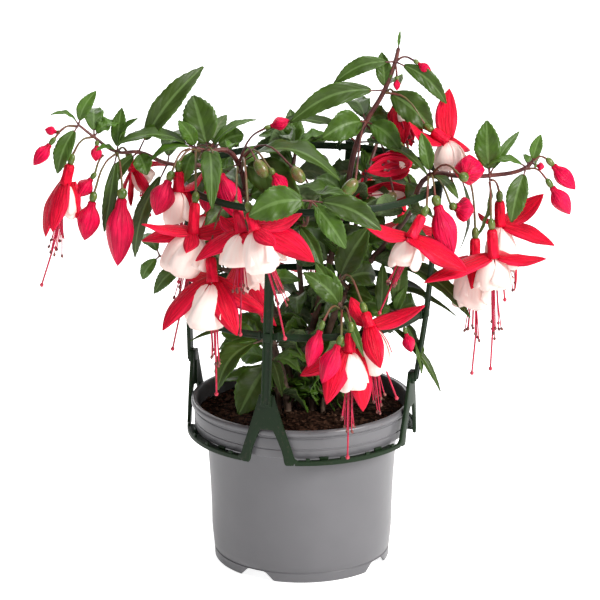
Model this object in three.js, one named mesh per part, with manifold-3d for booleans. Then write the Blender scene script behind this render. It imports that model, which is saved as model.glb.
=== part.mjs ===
// A flowering fuchsia in a plastic nursery pot, with a clip-on plant support.
// Millimetres, +Z up. The origin is on the floor, at the middle of the pot's foot.
// -Y is the front of the plant, +X its right-hand side.
import * as THREE from 'three';
import { mergeVertices } from 'three/addons/utils/BufferGeometryUtils.js';
import Module from 'manifold-3d';

const wasm = await Module();
wasm.setup();

// ---------- driving dimensions ----------

const GAP = 0.3; // room left between pieces that touch or nearly touch

const POT = {
  height: 113, wall: 1.6, lipRadius: 75, lipInner: 71.2, lipHeight: 4,
  skirtRadius: 73.2, stepHeight: 93, shoulderRadius: 65, baseRadius: 59.5,
  floorHeight: 7, floorThickness: 2,
  notchAngle: -31, notchTop: 13, notchBottom: 28, notchCount: 4,
};
const SOIL = { top: 103, bottom: 9.4, dome: 1.5 };

// The support's rings widen upwards and lean a little to the right.
const SUPPORT = {
  stakeCount: 4, firstStake: -17.5, stakeWidth: 6.2, stakeThickness: 2.6, groove: 0.8,
  stakeFoot: 132, stakeTop: 271, ringHeight: 4.6, ringThickness: 1.8,
  clipRadius: 77.9, clipWall: 1.8, clipBottom: 89.8, clipTop: 93.2, clipFlange: 69.5,
  plateTop: 138, plateTopWidth: 10, crotch: 114, legSpread: 36, legWidth: 6.4, plateThickness: 2.2,
};
const LEVELS = [
  // height, centre offset to the right, radius of the stakes' middle
  [SUPPORT.stakeFoot, 0.2, 79.8],
  [180, 3, 84],
  [266, 7, 88],
  [280, 7.6, 88.6],
];
const RING_HEIGHTS = { middle: 180, top: 266 };

const LEAF = { halfThickness: 0.6, petioleHalf: 0.8, arch: 0.12, stations: 4 };
const STALK = { radius: 0.85, buried: 2.5, arch: 0.25 };
const TIP_SWELLING = 0.5; // a shoot ends in a slightly swollen growing point
const OVARY = { radius: 2.9, length: 8 };
const TUBE = { radius: 3.4, mouth: 4.6 };
const SEPAL = { width: 14.5, halfThickness: 0.8, arch: 0.1, stations: 3 };
const STAMENS = { radius: 1.5 };
const STYLE = { radius: 0.8, knob: 1.7 };

// The way a leaf's upper side faces.
const UP = [0, -0.35, 1];
const FRONT = [0, -1, 0.35];
const RIGHT = [1, -0.4, 0.2];
const LEFT = [-1, -0.4, 0.2];
const BACK = [0, 1, 0.35];

const COLOUR = {
  pot: 0x8a898e, soil: 0x2a1f19, support: 0x26402a, leaf: 0x3f6a26, sepal: 0xe01038, bud: 0xd81a4c,
};

// ---------- the plant's layout, in millimetres ----------

// A shoot has a stem along its path. Each of its leaves is
// [point of the path, reach in x, y and z, width, way it faces],
// and each of its fruits or small buds is [start, top, reach of the body, radius].
const SHOOTS = {
  left_shoot: {
    radius: 2.1,
    path: [[-9, -1, 91], [-11, -2, 119], [-19, -5, 151], [-29, -8, 194], [-37, -8, 232],
      [-37, -5, 254], [-42, -3, 276], [-50, -8, 287], [-62, -14, 288], [-70, -18, 291]],
    leaves: [
      [9, -11, -4, 20, 10, FRONT], [9, -8, -12, -21, 10, FRONT], [9, -30, -10, -6, 8, UP],
      [9, -52, -6, 4, 15, UP], [8, -10, 16, 34, 22, FRONT], [8, 32, 14, 18, 8, UP],
      [7, 5, 18, -2, 8, UP], [6, 67, -37, -1, 20, UP], [6, 43, -39, -22, 24, FRONT],
      [5, -27, -25, -14, 18, FRONT], [4, 17, -12, -19, 16, FRONT], [3, -18, 18, 11, 16, UP],
      [2, -34, 10, 14, 17, UP], [8, 4, -62, -22, 13, FRONT],
      [5, -20, 34, 2, 16, UP], [4, 22, -22, 22, 17, UP],
    ],
    fruits: [
      [[-42, -4, 278], [-30, -44, 290], [7, -2, -11], 4.2],
      [[-42, -4, 278], [-6, -50, 287], [7, -2, -10], 4],
      [[-42, -3, 276], [-25, 0, 300], [17, 2, 5], 4.5],
      [[-66, -16, 289], [-62, -30, 272], [-1, -2, -21], 5],
    ],
  },
  far_left_shoot: {
    radius: 1.3,
    path: [[-36, -6, 255], [-64, -6, 275], [-89, -8, 278], [-108, -12, 287], [-122, -12, 287],
      [-137, -15, 298], [-147, -18, 307]],
    leaves: [
      [6, 12, 0, 23, 9, FRONT], [6, -18, -4, 8, 5, UP], [6, -14, -8, -31, 12, FRONT],
      [5, 17, 7, 8, 13, UP], [4, 3, 8, 28, 10, FRONT], [4, 14, -8, 25, 7, UP],
      [3, 43, 12, 55, 16, FRONT], [4, -14, -8, 3, 6, UP], [4, -9, -10, -52, 9, FRONT],
      [3, -19, 4, -24, 9, FRONT], [2, -23, 8, -67, 10, FRONT], [3, 6, -10, -13, 13, FRONT],
      [1, -11, 14, -28, 14, FRONT], [5, -2, 30, 12, 13, UP], [2, 6, 38, 8, 15, UP],
    ],
    fruits: [
      [[-148, -18, 306], [-159, -20, 302], [-10, -2, 3], 3.5],
      [[-137, -15, 298], [-135, -16, 296], [-1, -2, -14], 4.4],
    ],
  },
  left_inner_shoot: {
    radius: 1.3,
    path: [[-29, -6, 190], [-52, 10, 199], [-76, 13, 203], [-96, 16, 207]],
    leaves: [
      [3, -12, 2, -17, 9, FRONT], [2, -24, -2, -21, 10, FRONT], [1, -17, 10, -24, 14, UP],
      [3, -14, 20, 8, 11, UP], [2, -6, 30, 14, 15, UP],
      [1, -14, 30, 2, 16, UP],
    ],
  },
  centre_shoot: {
    radius: 1.2,
    path: [[-37, -6, 246], [-20, -22, 253], [-4, -36, 246], [2, -48, 247], [4, -68, 262],
      [6, -90, 275]],
    leaves: [
      [2, 26, -16, 8, 9, UP], [2, 18, -18, -29, 9, FRONT], [2, 31, 16, 6, 15, UP],
      [1, 12, -8, -25, 14, FRONT], [5, 45, -8, -17, 17, FRONT], [5, -40, -7, -8, 21, FRONT],
      [5, 13, -10, -16, 8, FRONT], [4, 26, -24, 15, 12, UP],
      [5, 22, -12, -28, 14, FRONT],
    ],
  },
  top_shoot: {
    radius: 2,
    path: [[-1, 7, 91], [-1, 8, 116], [7, 12, 156], [19, 16, 203], [29, 18, 246], [37, 16, 286],
      [43, 14, 301], [55, 12, 323], [62, 10, 343], [64, 10, 352]],
    leaves: [
      [8, -41, -4, -14, 11, FRONT], [7, -2, 4, 25, 11, FRONT], [9, 1, 0, 12, 2, FRONT],
      [8, 34, -6, -27, 11, FRONT], [7, -63, -12, -19, 15, FRONT], [7, 32, -12, -24, 19, FRONT],
      [6, -30, -18, -7, 20, FRONT], [6, 23, -14, -17, 16, FRONT], [6, 15, 12, 1, 12, FRONT],
      [5, -63, -14, 10, 13, UP], [5, 47, -26, -16, 9, UP], [4, 25, -34, -16, 18, UP],
      [4, -19, 12, 12, 16, UP], [3, -20, 18, 17, 18, UP], [3, 25, 18, 18, 18, UP],
      [2, 23, 32, 11, 18, UP], [7, 10, 34, -6, 14, UP], [6, -12, 36, 4, 16, UP],
      [4, -34, -22, 4, 17, UP],
    ],
    fruits: [
      [[43, 14, 301], [36, -30, 273], [-9, -2, -11], 4.5],
      [[43, 14, 299], [62, 0, 256], [-6, -2, -10], 4.2],
      [[62, 10, 341], [63, 7, 334], [0, 0, -10], 2.6],
      [[62, 10, 343], [74, 6, 345], [12, -2, -8], 3.2],
    ],
  },
  right_shoot: {
    radius: 2,
    path: [[8, 1, 91], [8, 1, 115], [16, 2, 152], [29, 0, 184], [46, -2, 209], [58, -6, 224],
      [71, -10, 244], [85, -15, 272], [105, -18, 272], [124, -20, 273], [148, -22, 279],
      [152, -22, 283]],
    leaves: [
      [9, -2, 6, 36, 17, FRONT], [10, -26, -2, 2, 9, UP], [9, 20, 12, 27, 6, FRONT],
      [11, 5, -2, 19, 8, FRONT], [10, -10, -12, -34, 14, FRONT], [9, -10, 2, -46, 9, RIGHT],
      [8, 1, 8, -52, 8, RIGHT], [7, -6, 3, 28, 10, FRONT], [7, 18, -19, -11, 7, UP],
      [6, 22, 20, -18, 14, UP], [5, 12, -24, -1, 14, FRONT], [4, 66, -32, -30, 13, UP],
      [4, -15, -20, 12, 16, FRONT], [3, 74, -20, -8, 7, UP], [3, 18, -26, 5, 14, FRONT],
      [9, -4, 38, 6, 15, UP], [8, 6, 34, -14, 14, UP], [10, 8, 26, -4, 10, UP],
      [6, 10, 36, 8, 16, UP],
    ],
    fruits: [[[152, -22, 282], [153, -24, 281], [7, 0, -1], 3]],
  },
  front_shoot: {
    radius: 1.2,
    path: [[33, -1, 188], [24, -30, 203], [26, -62, 194]],
    leaves: [
      [1, 20, -6, 39, 19, FRONT], [2, -17, 2, 31, 13, FRONT], [2, -25, -4, 26, 14, FRONT],
      [2, 14, -34, -22, 6, FRONT], [2, -1, -10, -6, 4, FRONT],
    ],
  },
  low_left_shoot: {
    radius: 1.4,
    path: [[-15, -11, 91], [-16, -14, 120], [-21, -26, 147], [-26, -34, 163]],
    leaves: [
      [3, -30, -16, -29, 18, UP], [2, -21, -26, -30, 17, UP], [2, 20, -14, -4, 11, UP],
      [3, -48, -10, 3, 5, UP], [2, 8, -32, -15, 8, UP], [1, -38, 8, 6, 16, UP],
    ],
  },
  low_right_shoot: {
    radius: 1.4,
    path: [[14, -5, 91], [16, -6, 117], [33, -8, 148], [52, -12, 172], [63, -14, 177]],
    leaves: [
      [3, 2, -4, 40, 9, FRONT], [4, 5, -6, 41, 11, FRONT], [4, 7, -8, 20, 7, FRONT],
      [4, 17, -20, -37, 13, RIGHT], [3, 41, -18, -46, 6, UP], [2, -8, -22, 11, 14, FRONT],
      [2, 30, 26, 4, 15, UP],
    ],
    fruits: [[[63, -14, 177], [68, -36, 173], [5, -2, -17], 4.2]],
  },
  back_left_shoot: {
    radius: 1.8,
    path: [[-6, 12, 91], [-8, 16, 120], [-18, 32, 160], [-32, 50, 205], [-46, 66, 243], [-60, 80, 266]],
    leaves: [
      [5, -34, 16, 4, 15, UP], [5, -12, 30, -20, 14, BACK], [5, 8, 20, 18, 12, BACK],
      [4, -40, 4, -16, 17, UP], [4, 26, 30, -8, 18, BACK], [3, -38, 18, -14, 18, BACK],
      [3, 30, 26, -6, 17, BACK], [2, -36, 22, 4, 17, BACK], [2, 28, 30, -2, 17, BACK],
      [1, -30, 20, 10, 16, UP], [5, -14, -16, 14, 12, UP],
      [4, -20, 26, 14, 16, UP], [3, 6, 34, 6, 16, BACK],
    ],
    fruits: [[[-60, 80, 266], [-66, 92, 260], [-3, 3, -15], 4.5]],
  },
  back_shoot: {
    radius: 1.8,
    path: [[2, 15, 91], [2, 20, 125], [0, 40, 170], [-4, 62, 214], [-6, 84, 246], [-4, 96, 262]],
    leaves: [
      [5, 2, 18, 16, 12, BACK], [5, -26, 8, 6, 14, UP], [5, 26, 8, 4, 14, UP],
      [5, -4, 4, 26, 12, FRONT], [4, -36, 6, -8, 17, BACK], [4, 34, 8, -10, 17, BACK],
      [3, -34, 14, 2, 18, BACK], [3, 32, 16, -4, 18, BACK], [2, -30, 22, 4, 17, BACK],
      [2, 30, 22, 0, 17, BACK], [1, 4, 34, 14, 16, BACK],
      [4, -18, 26, 12, 15, UP], [3, 4, 30, 12, 16, UP],
    ],
  },
  back_right_shoot: {
    radius: 1.8,
    path: [[8, 12, 91], [10, 17, 120], [20, 34, 162], [34, 50, 206], [44, 60, 250], [54, 74, 278]],
    leaves: [
      [5, 30, 18, 4, 15, UP], [5, 4, 34, -12, 14, BACK], [5, -20, 16, 14, 12, BACK],
      [4, 38, 8, -14, 17, UP], [4, -26, 28, -10, 18, BACK], [3, 40, 14, -12, 18, BACK],
      [3, -28, 28, -6, 17, BACK], [2, 38, 20, 2, 17, BACK], [2, -26, 32, 0, 17, BACK],
      [1, 34, 18, 8, 16, UP], [5, 12, -14, 16, 12, UP],
      [5, -16, 30, -6, 15, UP], [4, 10, 34, 12, 16, UP],
    ],
    fruits: [[[54, 74, 278], [66, 90, 270], [3, 3, -14], 4.2]],
  },
};

// A flower hangs from its stalk: stalk start, top of the ovary, reach of the tube, the
// reaches of its four sepals, then the corolla's reach and radius, the stamens' reach and
// the style's reach, all from the tube's mouth.
const FLOWERS = {
  flower_far_left: [[-138, -15, 298], [-151, -20, 288], [-5, -2, -20],
    [[-14, -2, -36], [-3, 16, -43], [8, 0, -25], [-8, -18, -28]],
    [0, 0, -24], 8, [-8, -4, -46], [-17, -2, -69]],
  flower_left_behind: [[-122, -12, 287], [-116, 0, 284], [4, 2, -12],
    [[-15, -2, -33], [13, -10, -19], [-2, -8, -24], [21, 8, 0]],
    [9, 4, -11], 8, [9, 4, -23], [10, 4, -33]],
  flower_left: [[-70, -20, 290], [-69, -52, 271], [-2, -6, -27],
    [[-33, -8, 9], [-34, 8, -7], [34, -4, 12], [-4, -20, -7]],
    [-7, 0, -25], 16, [-9, -2, -45], [-14, -2, -78]],
  flower_left_upper: [[-67, -18, 289], [-81, -30, 286], [0, -2, -20],
    [[17, -2, 15], [9, -4, -15], [-13, 6, -12], [-2, 8, -26]],
    [-1, 0, -20], 9, [-1, 0, -34], [-2, 0, -41]],
  flower_centre_left: [[-42, -8, 272], [-43, -60, 267], [4, -18, -17],
    [[-30, -2, -18], [-14, 18, 7], [13, -20, -7], [-1, 20, -25]],
    [0, -2, -21], 13.5, [-1, -4, -40], [-1, -4, -67]],
  flower_centre: [[-40, -6, 272], [-35, -88, 274], [5, -8, -17],
    [[30, 6, 10], [38, -10, -18], [13, -21, -4], [4, 20, 11]],
    [7, 0, -26], 13.5, [19, -4, -48], [19, -4, -71]],
  flower_lower_left: [[-44, -10, 250], [-60, -66, 238], [2, -8, -22],
    [[16, -18, -31], [-33, -4, -32], [36, 8, -24], [-19, 22, 1]],
    [-5, 0, -31], 15, [2, -2, -58], [2, -2, -76]],
  flower_inner_left: [[-37, -6, 254], [-42, -40, 243], [4, -4, -22],
    [[21, -6, -43], [-8, -8, -24], [8, 10, -31], [-15, 8, -22]],
    [12, 0, -18], 11, [12, -2, -29], [12, -2, -40]],
  flower_centre_right: [[84, -17, 271], [82, -52, 261], [-11, -10, -19],
    [[-30, -4, 10], [37, -4, -21], [5, -22, -1], [15, 26, -6]],
    [-4, 0, -19], 11.5, [-12, -2, -31], [-20, -2, -50]],
  flower_upper_right: [[56, 10, 322], [81, 0, 303], [15, -4, -11],
    [[2, 8, 34], [-25, -10, 16], [17, 24, -12], [5, 26, -20]],
    [3, 4, -19], 10, [4, 4, -27], [6, 4, -34]],
  flower_opening: [[56, 12, 321], [61, 19, 321], [4, -1, -11],
    [[3, -6, -24], [16, 2, -16], [-6, 6, -12], [9, 10, -30]],
    [6, 0, -16], 6, [7, 0, -26], [8, 0, -33]],
  flower_right_behind: [[125, -20, 270], [131, -14, 261], [1, 2, -24],
    [[29, 8, 19], [36, -8, -12], [-14, 12, 5], [11, 6, -48]],
    [2, 0, -33], 11, [6, 0, -45], [4, 0, -52]],
  flower_right: [[124, -22, 269], [124, -46, 251], [2, -2, -26],
    [[-46, -14, -13], [34, -6, 1], [-14, 26, -11], [25, 28, -12]],
    [0, 0, -22], 12.5, [2, -2, -55], [-1, -2, -76]],
  flower_right_inner: [[111, -19, 270], [115, -22, 238], [0, -2, -22],
    [[-3, -20, -14], [-15, 14, -10], [18, 16, -15], [-24, -14, -6]],
    [-4, -2, -34], 13, [-1, -2, -55], [-1, -2, -78]],
  flower_lying: [[47, 14, 290], [78, 8, 271], [-8, -4, 4],
    [[-24, -6, 4], [-15, 10, 4], [-27, -10, -3], [-12, 0, -11]],
    [-11, -2, -1], 6, [-15, -4, -2], [-18, -4, -3]],
  flower_inner_right: [[47, 16, 290], [76, 20, 252], [-7, -4, -2],
    [[-34, -10, 1], [-19, 4, 5], [-14, -10, -6], [5, 8, -10]],
    [-26, -8, 1], 6, [-30, -10, 0], [-37, -12, 0]],
  flower_front: [[26, -62, 194], [32, -84, 192], [-1, -4, -19],
    [[-15, -16, -31], [9, -4, -40], [-32, 4, -18], [20, 14, -14]],
    [3, -2, -27], 10, [-1, -2, -53], [-1, -2, -72]],
  flower_front_right: [[24, -30, 203], [39, -76, 203], [5, -7, -15],
    [[36, 6, 13], [7, -16, -23], [-12, 18, 15], [15, 20, -24]],
    [6, 2, -28], 9.5, [7, 0, -56], [18, 2, -49]],
  flower_back_left: [[-46, 66, 243], [-62, 90, 236], [-2, 3, -22],
    [[-26, 8, -14], [20, 10, -16], [4, 22, -16], [-8, -18, -22]],
    [0, 0, -24], 12, [0, 2, -44], [-2, 2, -66]],
  flower_back_left_end: [[-60, 80, 266], [-80, 88, 256], [-3, 2, -22],
    [[-30, 4, -6], [22, 12, -10], [-4, 22, -16], [-2, -20, -20]],
    [0, 0, -24], 11.5, [-1, 1, -46], [-3, 2, -68]],
  flower_back: [[-6, 84, 246], [6, 92, 234], [1, 3, -22],
    [[28, 6, -8], [-28, 6, -8], [0, 22, -16], [4, -20, -20]],
    [0, 0, -26], 12.5, [0, 2, -48], [1, 3, -72]],
  flower_back_low: [[-4, 62, 214], [-22, 84, 202], [-1, 3, -20],
    [[-26, 8, -10], [24, 10, -12], [0, 22, -18], [-2, -18, -22]],
    [0, 0, -24], 11.5, [-1, 2, -44], [-2, 2, -66]],
  flower_back_right: [[54, 74, 278], [46, 94, 262], [-1, 3, -22],
    [[26, 8, -12], [-24, 10, -12], [2, 20, -20], [2, -20, -16]],
    [0, 0, -24], 12, [1, 2, -44], [2, 2, -64]],
  flower_back_right_low: [[44, 60, 250], [68, 84, 232], [2, 2, -22],
    [[28, 4, -10], [-22, 12, -12], [6, 22, -16], [0, -20, -20]],
    [0, 0, -24], 12, [1, 1, -46], [2, 2, -70]],
};

// A bud: stalk start, top of the ovary, reach of the closed sepals, radius.
const BUDS = {
  bud_far_left: [[-149, -18, 306], [-162, -24, 300], [-14.5, -4, -18], 5.5],
  bud_left_small: [[-131, -16, 286], [-136, -20, 275], [-12, -2, -16], 5.5],
  bud_left_opening: [[-122, -14, 287], [-137, -24, 263], [-7, -2, -33], 8],
  bud_left_long: [[-122, -14, 287], [-118, -30, 267], [-4, -2, -53], 10],
  bud_left_pink: [[-74, -19, 291], [-85, -34, 280], [-11, -6, -29], 8],
  bud_centre_left: [[-64, -16, 289], [-56, -44, 287], [15, -10, -35], 8.5],
  bud_centre: [[-42, -4, 278], [-21, -46, 285], [11, -2, -16], 6],
  bud_right_round: [[85, -15, 272], [105, -46, 278], [9, 34, 1], 10],
  bud_right_inner: [[85, -15, 271], [97, -40, 258], [16, 6, -6], 8.5],
  bud_centre_right: [[85, -16, 271], [87, -44, 266], [12, -4, -41], 9.5],
  bud_far_right_upper: [[153, -22, 284], [161, -24, 286], [19.5, -2, -21], 6.5],
  bud_far_right_lower: [[148, -22, 278], [161, -28, 273], [16, -2, -24], 6.3],
  bud_front_left: [[26, -63, 193], [14, -88, 194], [-10, -6, -30], 5.8],
  bud_front: [[26, -63, 193], [26, -94, 186], [-13, -6, -31], 6.8],
};

// ---------- helpers ----------

const group = new THREE.Group();
const vec = (p) => new THREE.Vector3(...p);
const radians = (degrees) => (degrees * Math.PI) / 180;
const lerp = THREE.MathUtils.lerp;

// Turns a closed three.js geometry into a solid that can be joined and cut.
function solid(geometry) {
  geometry.deleteAttribute('normal');
  geometry.deleteAttribute('uv');
  const merged = mergeVertices(geometry, 1e-4);
  return new wasm.Manifold(new wasm.Mesh({
    numProp: 3,
    vertProperties: new Float32Array(merged.attributes.position.array),
    triVerts: new Uint32Array(merged.index.array),
  }));
}

function joined(solids) {
  return solids.reduce((whole, piece) => whole.add(piece));
}

// The largest body of a solid, so that no crumb of a cut is left behind.
function onePiece(whole) {
  const bodies = whole.decompose();
  return bodies.reduce((best, body) => (body.volume() > best.volume() ? body : best));
}

function addMesh(name, body, colour, roughness) {
  const { vertProperties, triVerts } = body.getMesh();
  const geometry = new THREE.BufferGeometry();
  geometry.setAttribute('position', new THREE.BufferAttribute(new Float32Array(vertProperties), 3));
  geometry.setIndex(new THREE.BufferAttribute(new Uint32Array(triVerts), 1));
  const material = new THREE.MeshStandardMaterial({ color: colour, roughness, metalness: 0 });
  const mesh = new THREE.Mesh(geometry, material);
  mesh.name = name;
  group.add(mesh);
}

// Pieces keep clear of one another: each is cut by the fuller form of those placed before it.
const placed = [];

function near(a, b) {
  return [0, 1, 2].every((k) => a.min[k] < b.max[k] && b.min[k] < a.max[k]);
}

function place(name, build, colour, roughness) {
  let body = build(0);
  for (const other of placed) {
    if (near(body.boundingBox(), other.boundingBox())) body = body.subtract(other);
  }
  addMesh(name, onePiece(body), colour, roughness);
  placed.push(build(GAP));
}

// A lathe turned about Z; points are [radius, height] and start and end on the axis.
function turned(points, segments) {
  const geometry = new THREE.LatheGeometry(points.map(([r, z]) => new THREE.Vector2(r, z)), segments);
  return geometry.rotateX(Math.PI / 2);
}

// Moves a shape built along +Z from the origin so that it runs along a reach from a start.
function along(geometry, start, reach) {
  const turn = new THREE.Quaternion().setFromUnitVectors(new THREE.Vector3(0, 0, 1),
    reach.clone().normalize());
  return geometry.applyQuaternion(turn).translate(start.x, start.y, start.z);
}

// A round rod of even thickness along a smooth path.
function rod(points, radius, sides, stepsPerSpan) {
  const shape = new THREE.Shape();
  for (let k = 0; k < sides; k += 1) {
    const angle = (2 * Math.PI * k) / sides;
    shape[k ? 'lineTo' : 'moveTo'](radius * Math.cos(angle), radius * Math.sin(angle));
  }
  shape.closePath();
  const path = new THREE.CatmullRomCurve3(points.map(vec), false, 'centripetal');
  return new THREE.ExtrudeGeometry(shape, {
    steps: stepsPerSpan * (points.length - 1), extrudePath: path, bevelEnabled: false,
  });
}

// A flower stalk rises a little from its shoot before it hangs down, and ends inside the ovary.
function stalk(from, top, reach, grow) {
  const middle = vec(from).lerp(vec(top), 0.5);
  middle.z += STALK.arch * vec(from).distanceTo(vec(top));
  const end = vec(top).addScaledVector(vec(reach).normalize(), STALK.buried);
  return solid(rod([from, middle.toArray(), end.toArray()], STALK.radius + grow, 3, 1));
}

// A thin blade with pointed ends: a lens whose middle line runs from start along reach.
function blade(start, reach, face, outline, halfThickness, arch, stations) {
  const length = reach.length();
  const direction = reach.clone().normalize();
  const normal = face.clone().addScaledVector(direction, -face.dot(direction)).normalize();
  const side = new THREE.Vector3().crossVectors(direction, normal);
  const geometry = new THREE.SphereGeometry(1, 4, stations);
  const corners = geometry.attributes.position;
  const point = new THREE.Vector3();
  for (let k = 0; k < corners.count; k += 1) {
    const t = (1 + corners.getY(k)) / 2;
    const ring = Math.sqrt(Math.max(0, 1 - corners.getY(k) ** 2)) || 1;
    const across = (corners.getX(k) / ring) * outline(t);
    const lift = 4 * arch * length * t * (1 - t) + corners.getZ(k) * halfThickness;
    point.copy(start).addScaledVector(direction, t * length)
      .addScaledVector(side, across).addScaledVector(normal, lift);
    corners.setXYZ(k, point.x, point.y, point.z);
  }
  return solid(geometry);
}

// ---------- plant pieces ----------

function leaf(start, [, dx, dy, dz, width, face], grow) {
  const outline = (t) => {
    const open = THREE.MathUtils.smoothstep(t, 0.08, 0.35) * Math.sqrt(Math.max(0, 1 - t ** 2.2));
    return LEAF.petioleHalf + grow + (width / 2 - LEAF.petioleHalf) * open;
  };
  return blade(vec(start), new THREE.Vector3(dx, dy, dz), vec(face), outline,
    LEAF.halfThickness + grow, LEAF.arch, LEAF.stations);
}

function budBody(top, reach, radius, grow) {
  const length = reach.length() + grow;
  const rows = [[0, -grow], [0.32, 0.04], [0.38, 0.16], [0.3, 0.24], [0.55, 0.36], [1, 0.62], [0.6, 0.84]];
  const profile = rows.map(([r, t], k) => [k ? r * radius + grow : 0, k ? t * length : t]);
  profile.push([0, length]);
  return solid(along(turned(profile, 6), top, reach));
}

function bud([from, top, reach, radius], grow) {
  return joined([stalk(from, top, reach, grow), budBody(vec(top), vec(reach), radius, grow)]);
}

function stem({ radius, path }, grow) {
  const tip = new THREE.SphereGeometry(radius + TIP_SWELLING + grow, 5, 3);
  return joined([
    solid(rod(path, radius + grow, 5, 3)),
    solid(tip.translate(...path.at(-1))),
  ]);
}

// Leaves give way where another shoot's stem passes through them.
function shoot(name, grow) {
  const { path, leaves, fruits = [] } = SHOOTS[name];
  let foliage = joined([
    ...leaves.map((row) => leaf(path[row[0]], row, grow)),
    ...fruits.map((row) => bud(row, grow)),
  ]);
  for (const other of Object.keys(SHOOTS)) {
    if (other !== name) foliage = foliage.subtract(stem(SHOOTS[other], GAP));
  }
  return foliage.add(stem(SHOOTS[name], grow));
}

function flower([from, top, tube, sepals, skirt, radius, stamens, style], grow) {
  const crown = vec(top);
  const reach = vec(tube);
  const mouth = crown.clone().add(reach);
  const length = reach.length();
  const body = [
    [0, -grow], [OVARY.radius + grow, OVARY.length * 0.35], [OVARY.radius * 0.8 + grow, OVARY.length],
    [TUBE.mouth + grow, length], [0, length + 1.5 + grow],
  ];
  const drop = vec(skirt);
  const bell = [
    [0, -1 - grow], [radius * 0.85 + grow, drop.length() * 0.35],
    [radius + grow, drop.length() * 0.8], [0, drop.length() + grow],
  ];
  const outline = (t) => {
    const swell = Math.sin(Math.PI * Math.min(1, 0.14 + 0.86 * t));
    return 0.5 * SEPAL.width * swell + grow + 0.4;
  };
  const petals = sepals.map((tip) => {
    const out = vec(tip).normalize().sub(drop.clone().normalize());
    return blade(mouth, vec(tip), out, outline, SEPAL.halfThickness + grow, SEPAL.arch, SEPAL.stations);
  });
  const filaments = [mouth.toArray(), mouth.clone().add(vec(stamens)).toArray()];
  const styleEnd = mouth.clone().add(vec(style));
  const knob = new THREE.SphereGeometry(STYLE.knob + grow, 4, 3);
  return joined([
    stalk(from, top, tube, grow),
    solid(along(turned(body, 6), crown, reach)),
    solid(along(turned(bell, 7), mouth, drop)),
    ...petals,
    solid(rod(filaments, STAMENS.radius + grow, 3, 1)),
    solid(rod([mouth.toArray(), styleEnd.toArray()], STYLE.radius + grow, 3, 1)),
    solid(knob.translate(styleEnd.x, styleEnd.y, styleEnd.z)),
  ]);
}

// ---------- pot and soil ----------

const notchPitch = 360 / POT.notchCount;

// Azimuths turn from the front (-Y) towards the right (+X).
const outward = (azimuth) => new THREE.Vector3(Math.sin(azimuth), -Math.cos(azimuth), 0);

function potBody() {
  const foot = POT.floorHeight;
  const under = POT.floorHeight - GAP;
  const wall = POT.wall;
  const innerBase = POT.baseRadius - wall;
  const profile = [
    [0, foot], [innerBase - 0.5, under], [innerBase - 1, 0], [POT.baseRadius, 0],
    [POT.baseRadius + 0.5, foot], [POT.shoulderRadius, POT.stepHeight],
    [POT.skirtRadius - 0.6, POT.stepHeight], [POT.skirtRadius, POT.height - POT.lipHeight],
    [POT.lipRadius, POT.height - POT.lipHeight + 0.4], [POT.lipRadius, POT.height - 1],
    [POT.lipRadius - 1, POT.height], [POT.lipInner, POT.height - 0.4],
    [POT.skirtRadius - 0.6 - wall, POT.stepHeight + wall],
    [POT.shoulderRadius - wall, POT.stepHeight + wall],
    [innerBase, foot + POT.floorThickness + 0.4], [0, foot + POT.floorThickness],
  ];
  return solid(turned(profile, 48));
}

// A tapering gap in the foot, wider at the floor.
function footNotch(azimuth) {
  const half = (degrees) => POT.baseRadius * Math.sin(radians(degrees / 2));
  const shape = new THREE.Shape([
    new THREE.Vector2(-half(POT.notchBottom), -1),
    new THREE.Vector2(half(POT.notchBottom), -1),
    new THREE.Vector2(half(POT.notchTop), POT.floorHeight - 1),
    new THREE.Vector2(-half(POT.notchTop), POT.floorHeight - 1),
  ]);
  const geometry = new THREE.ExtrudeGeometry(shape, { depth: 20, bevelEnabled: false });
  geometry.rotateX(Math.PI / 2).translate(0, -POT.baseRadius + 14, 0);
  return solid(geometry.rotateZ(azimuth));
}

function pot() {
  let body = potBody();
  for (let k = 0; k < POT.notchCount; k += 1) {
    body = body.subtract(footNotch(radians(POT.notchAngle + k * notchPitch)));
  }
  return body;
}

// Compost fills the pot to just under the lip and is slightly domed.
function soil() {
  const clear = POT.wall + GAP;
  const slope = (POT.shoulderRadius - POT.baseRadius) / POT.stepHeight;
  const radiusAt = (z) => POT.baseRadius + slope * z - clear - 0.3;
  const rim = POT.skirtRadius - 0.6 - clear - 0.6;
  const profile = [
    [0, SOIL.bottom], [radiusAt(SOIL.bottom), SOIL.bottom + 0.6],
    [radiusAt(POT.stepHeight), POT.stepHeight + clear], [rim, POT.stepHeight + clear],
    [rim, SOIL.top - SOIL.dome], [rim * 0.6, SOIL.top - 0.2], [0, SOIL.top],
  ];
  return solid(turned(profile, 24));
}

// ---------- plant support ----------

// Where the support's stakes run at a height: centre offset and radius.
function supportAt(z) {
  const above = LEVELS.findIndex(([height]) => height >= z);
  const upper = LEVELS[Math.max(1, above)];
  const lower = LEVELS[Math.max(1, above) - 1];
  const t = (z - lower[0]) / (upper[0] - lower[0]);
  return { offset: lerp(lower[1], upper[1], t), radius: lerp(lower[2], upper[2], t) };
}

const stakeAzimuth = (k) => radians(SUPPORT.firstStake + (k * 360) / SUPPORT.stakeCount);

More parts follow.
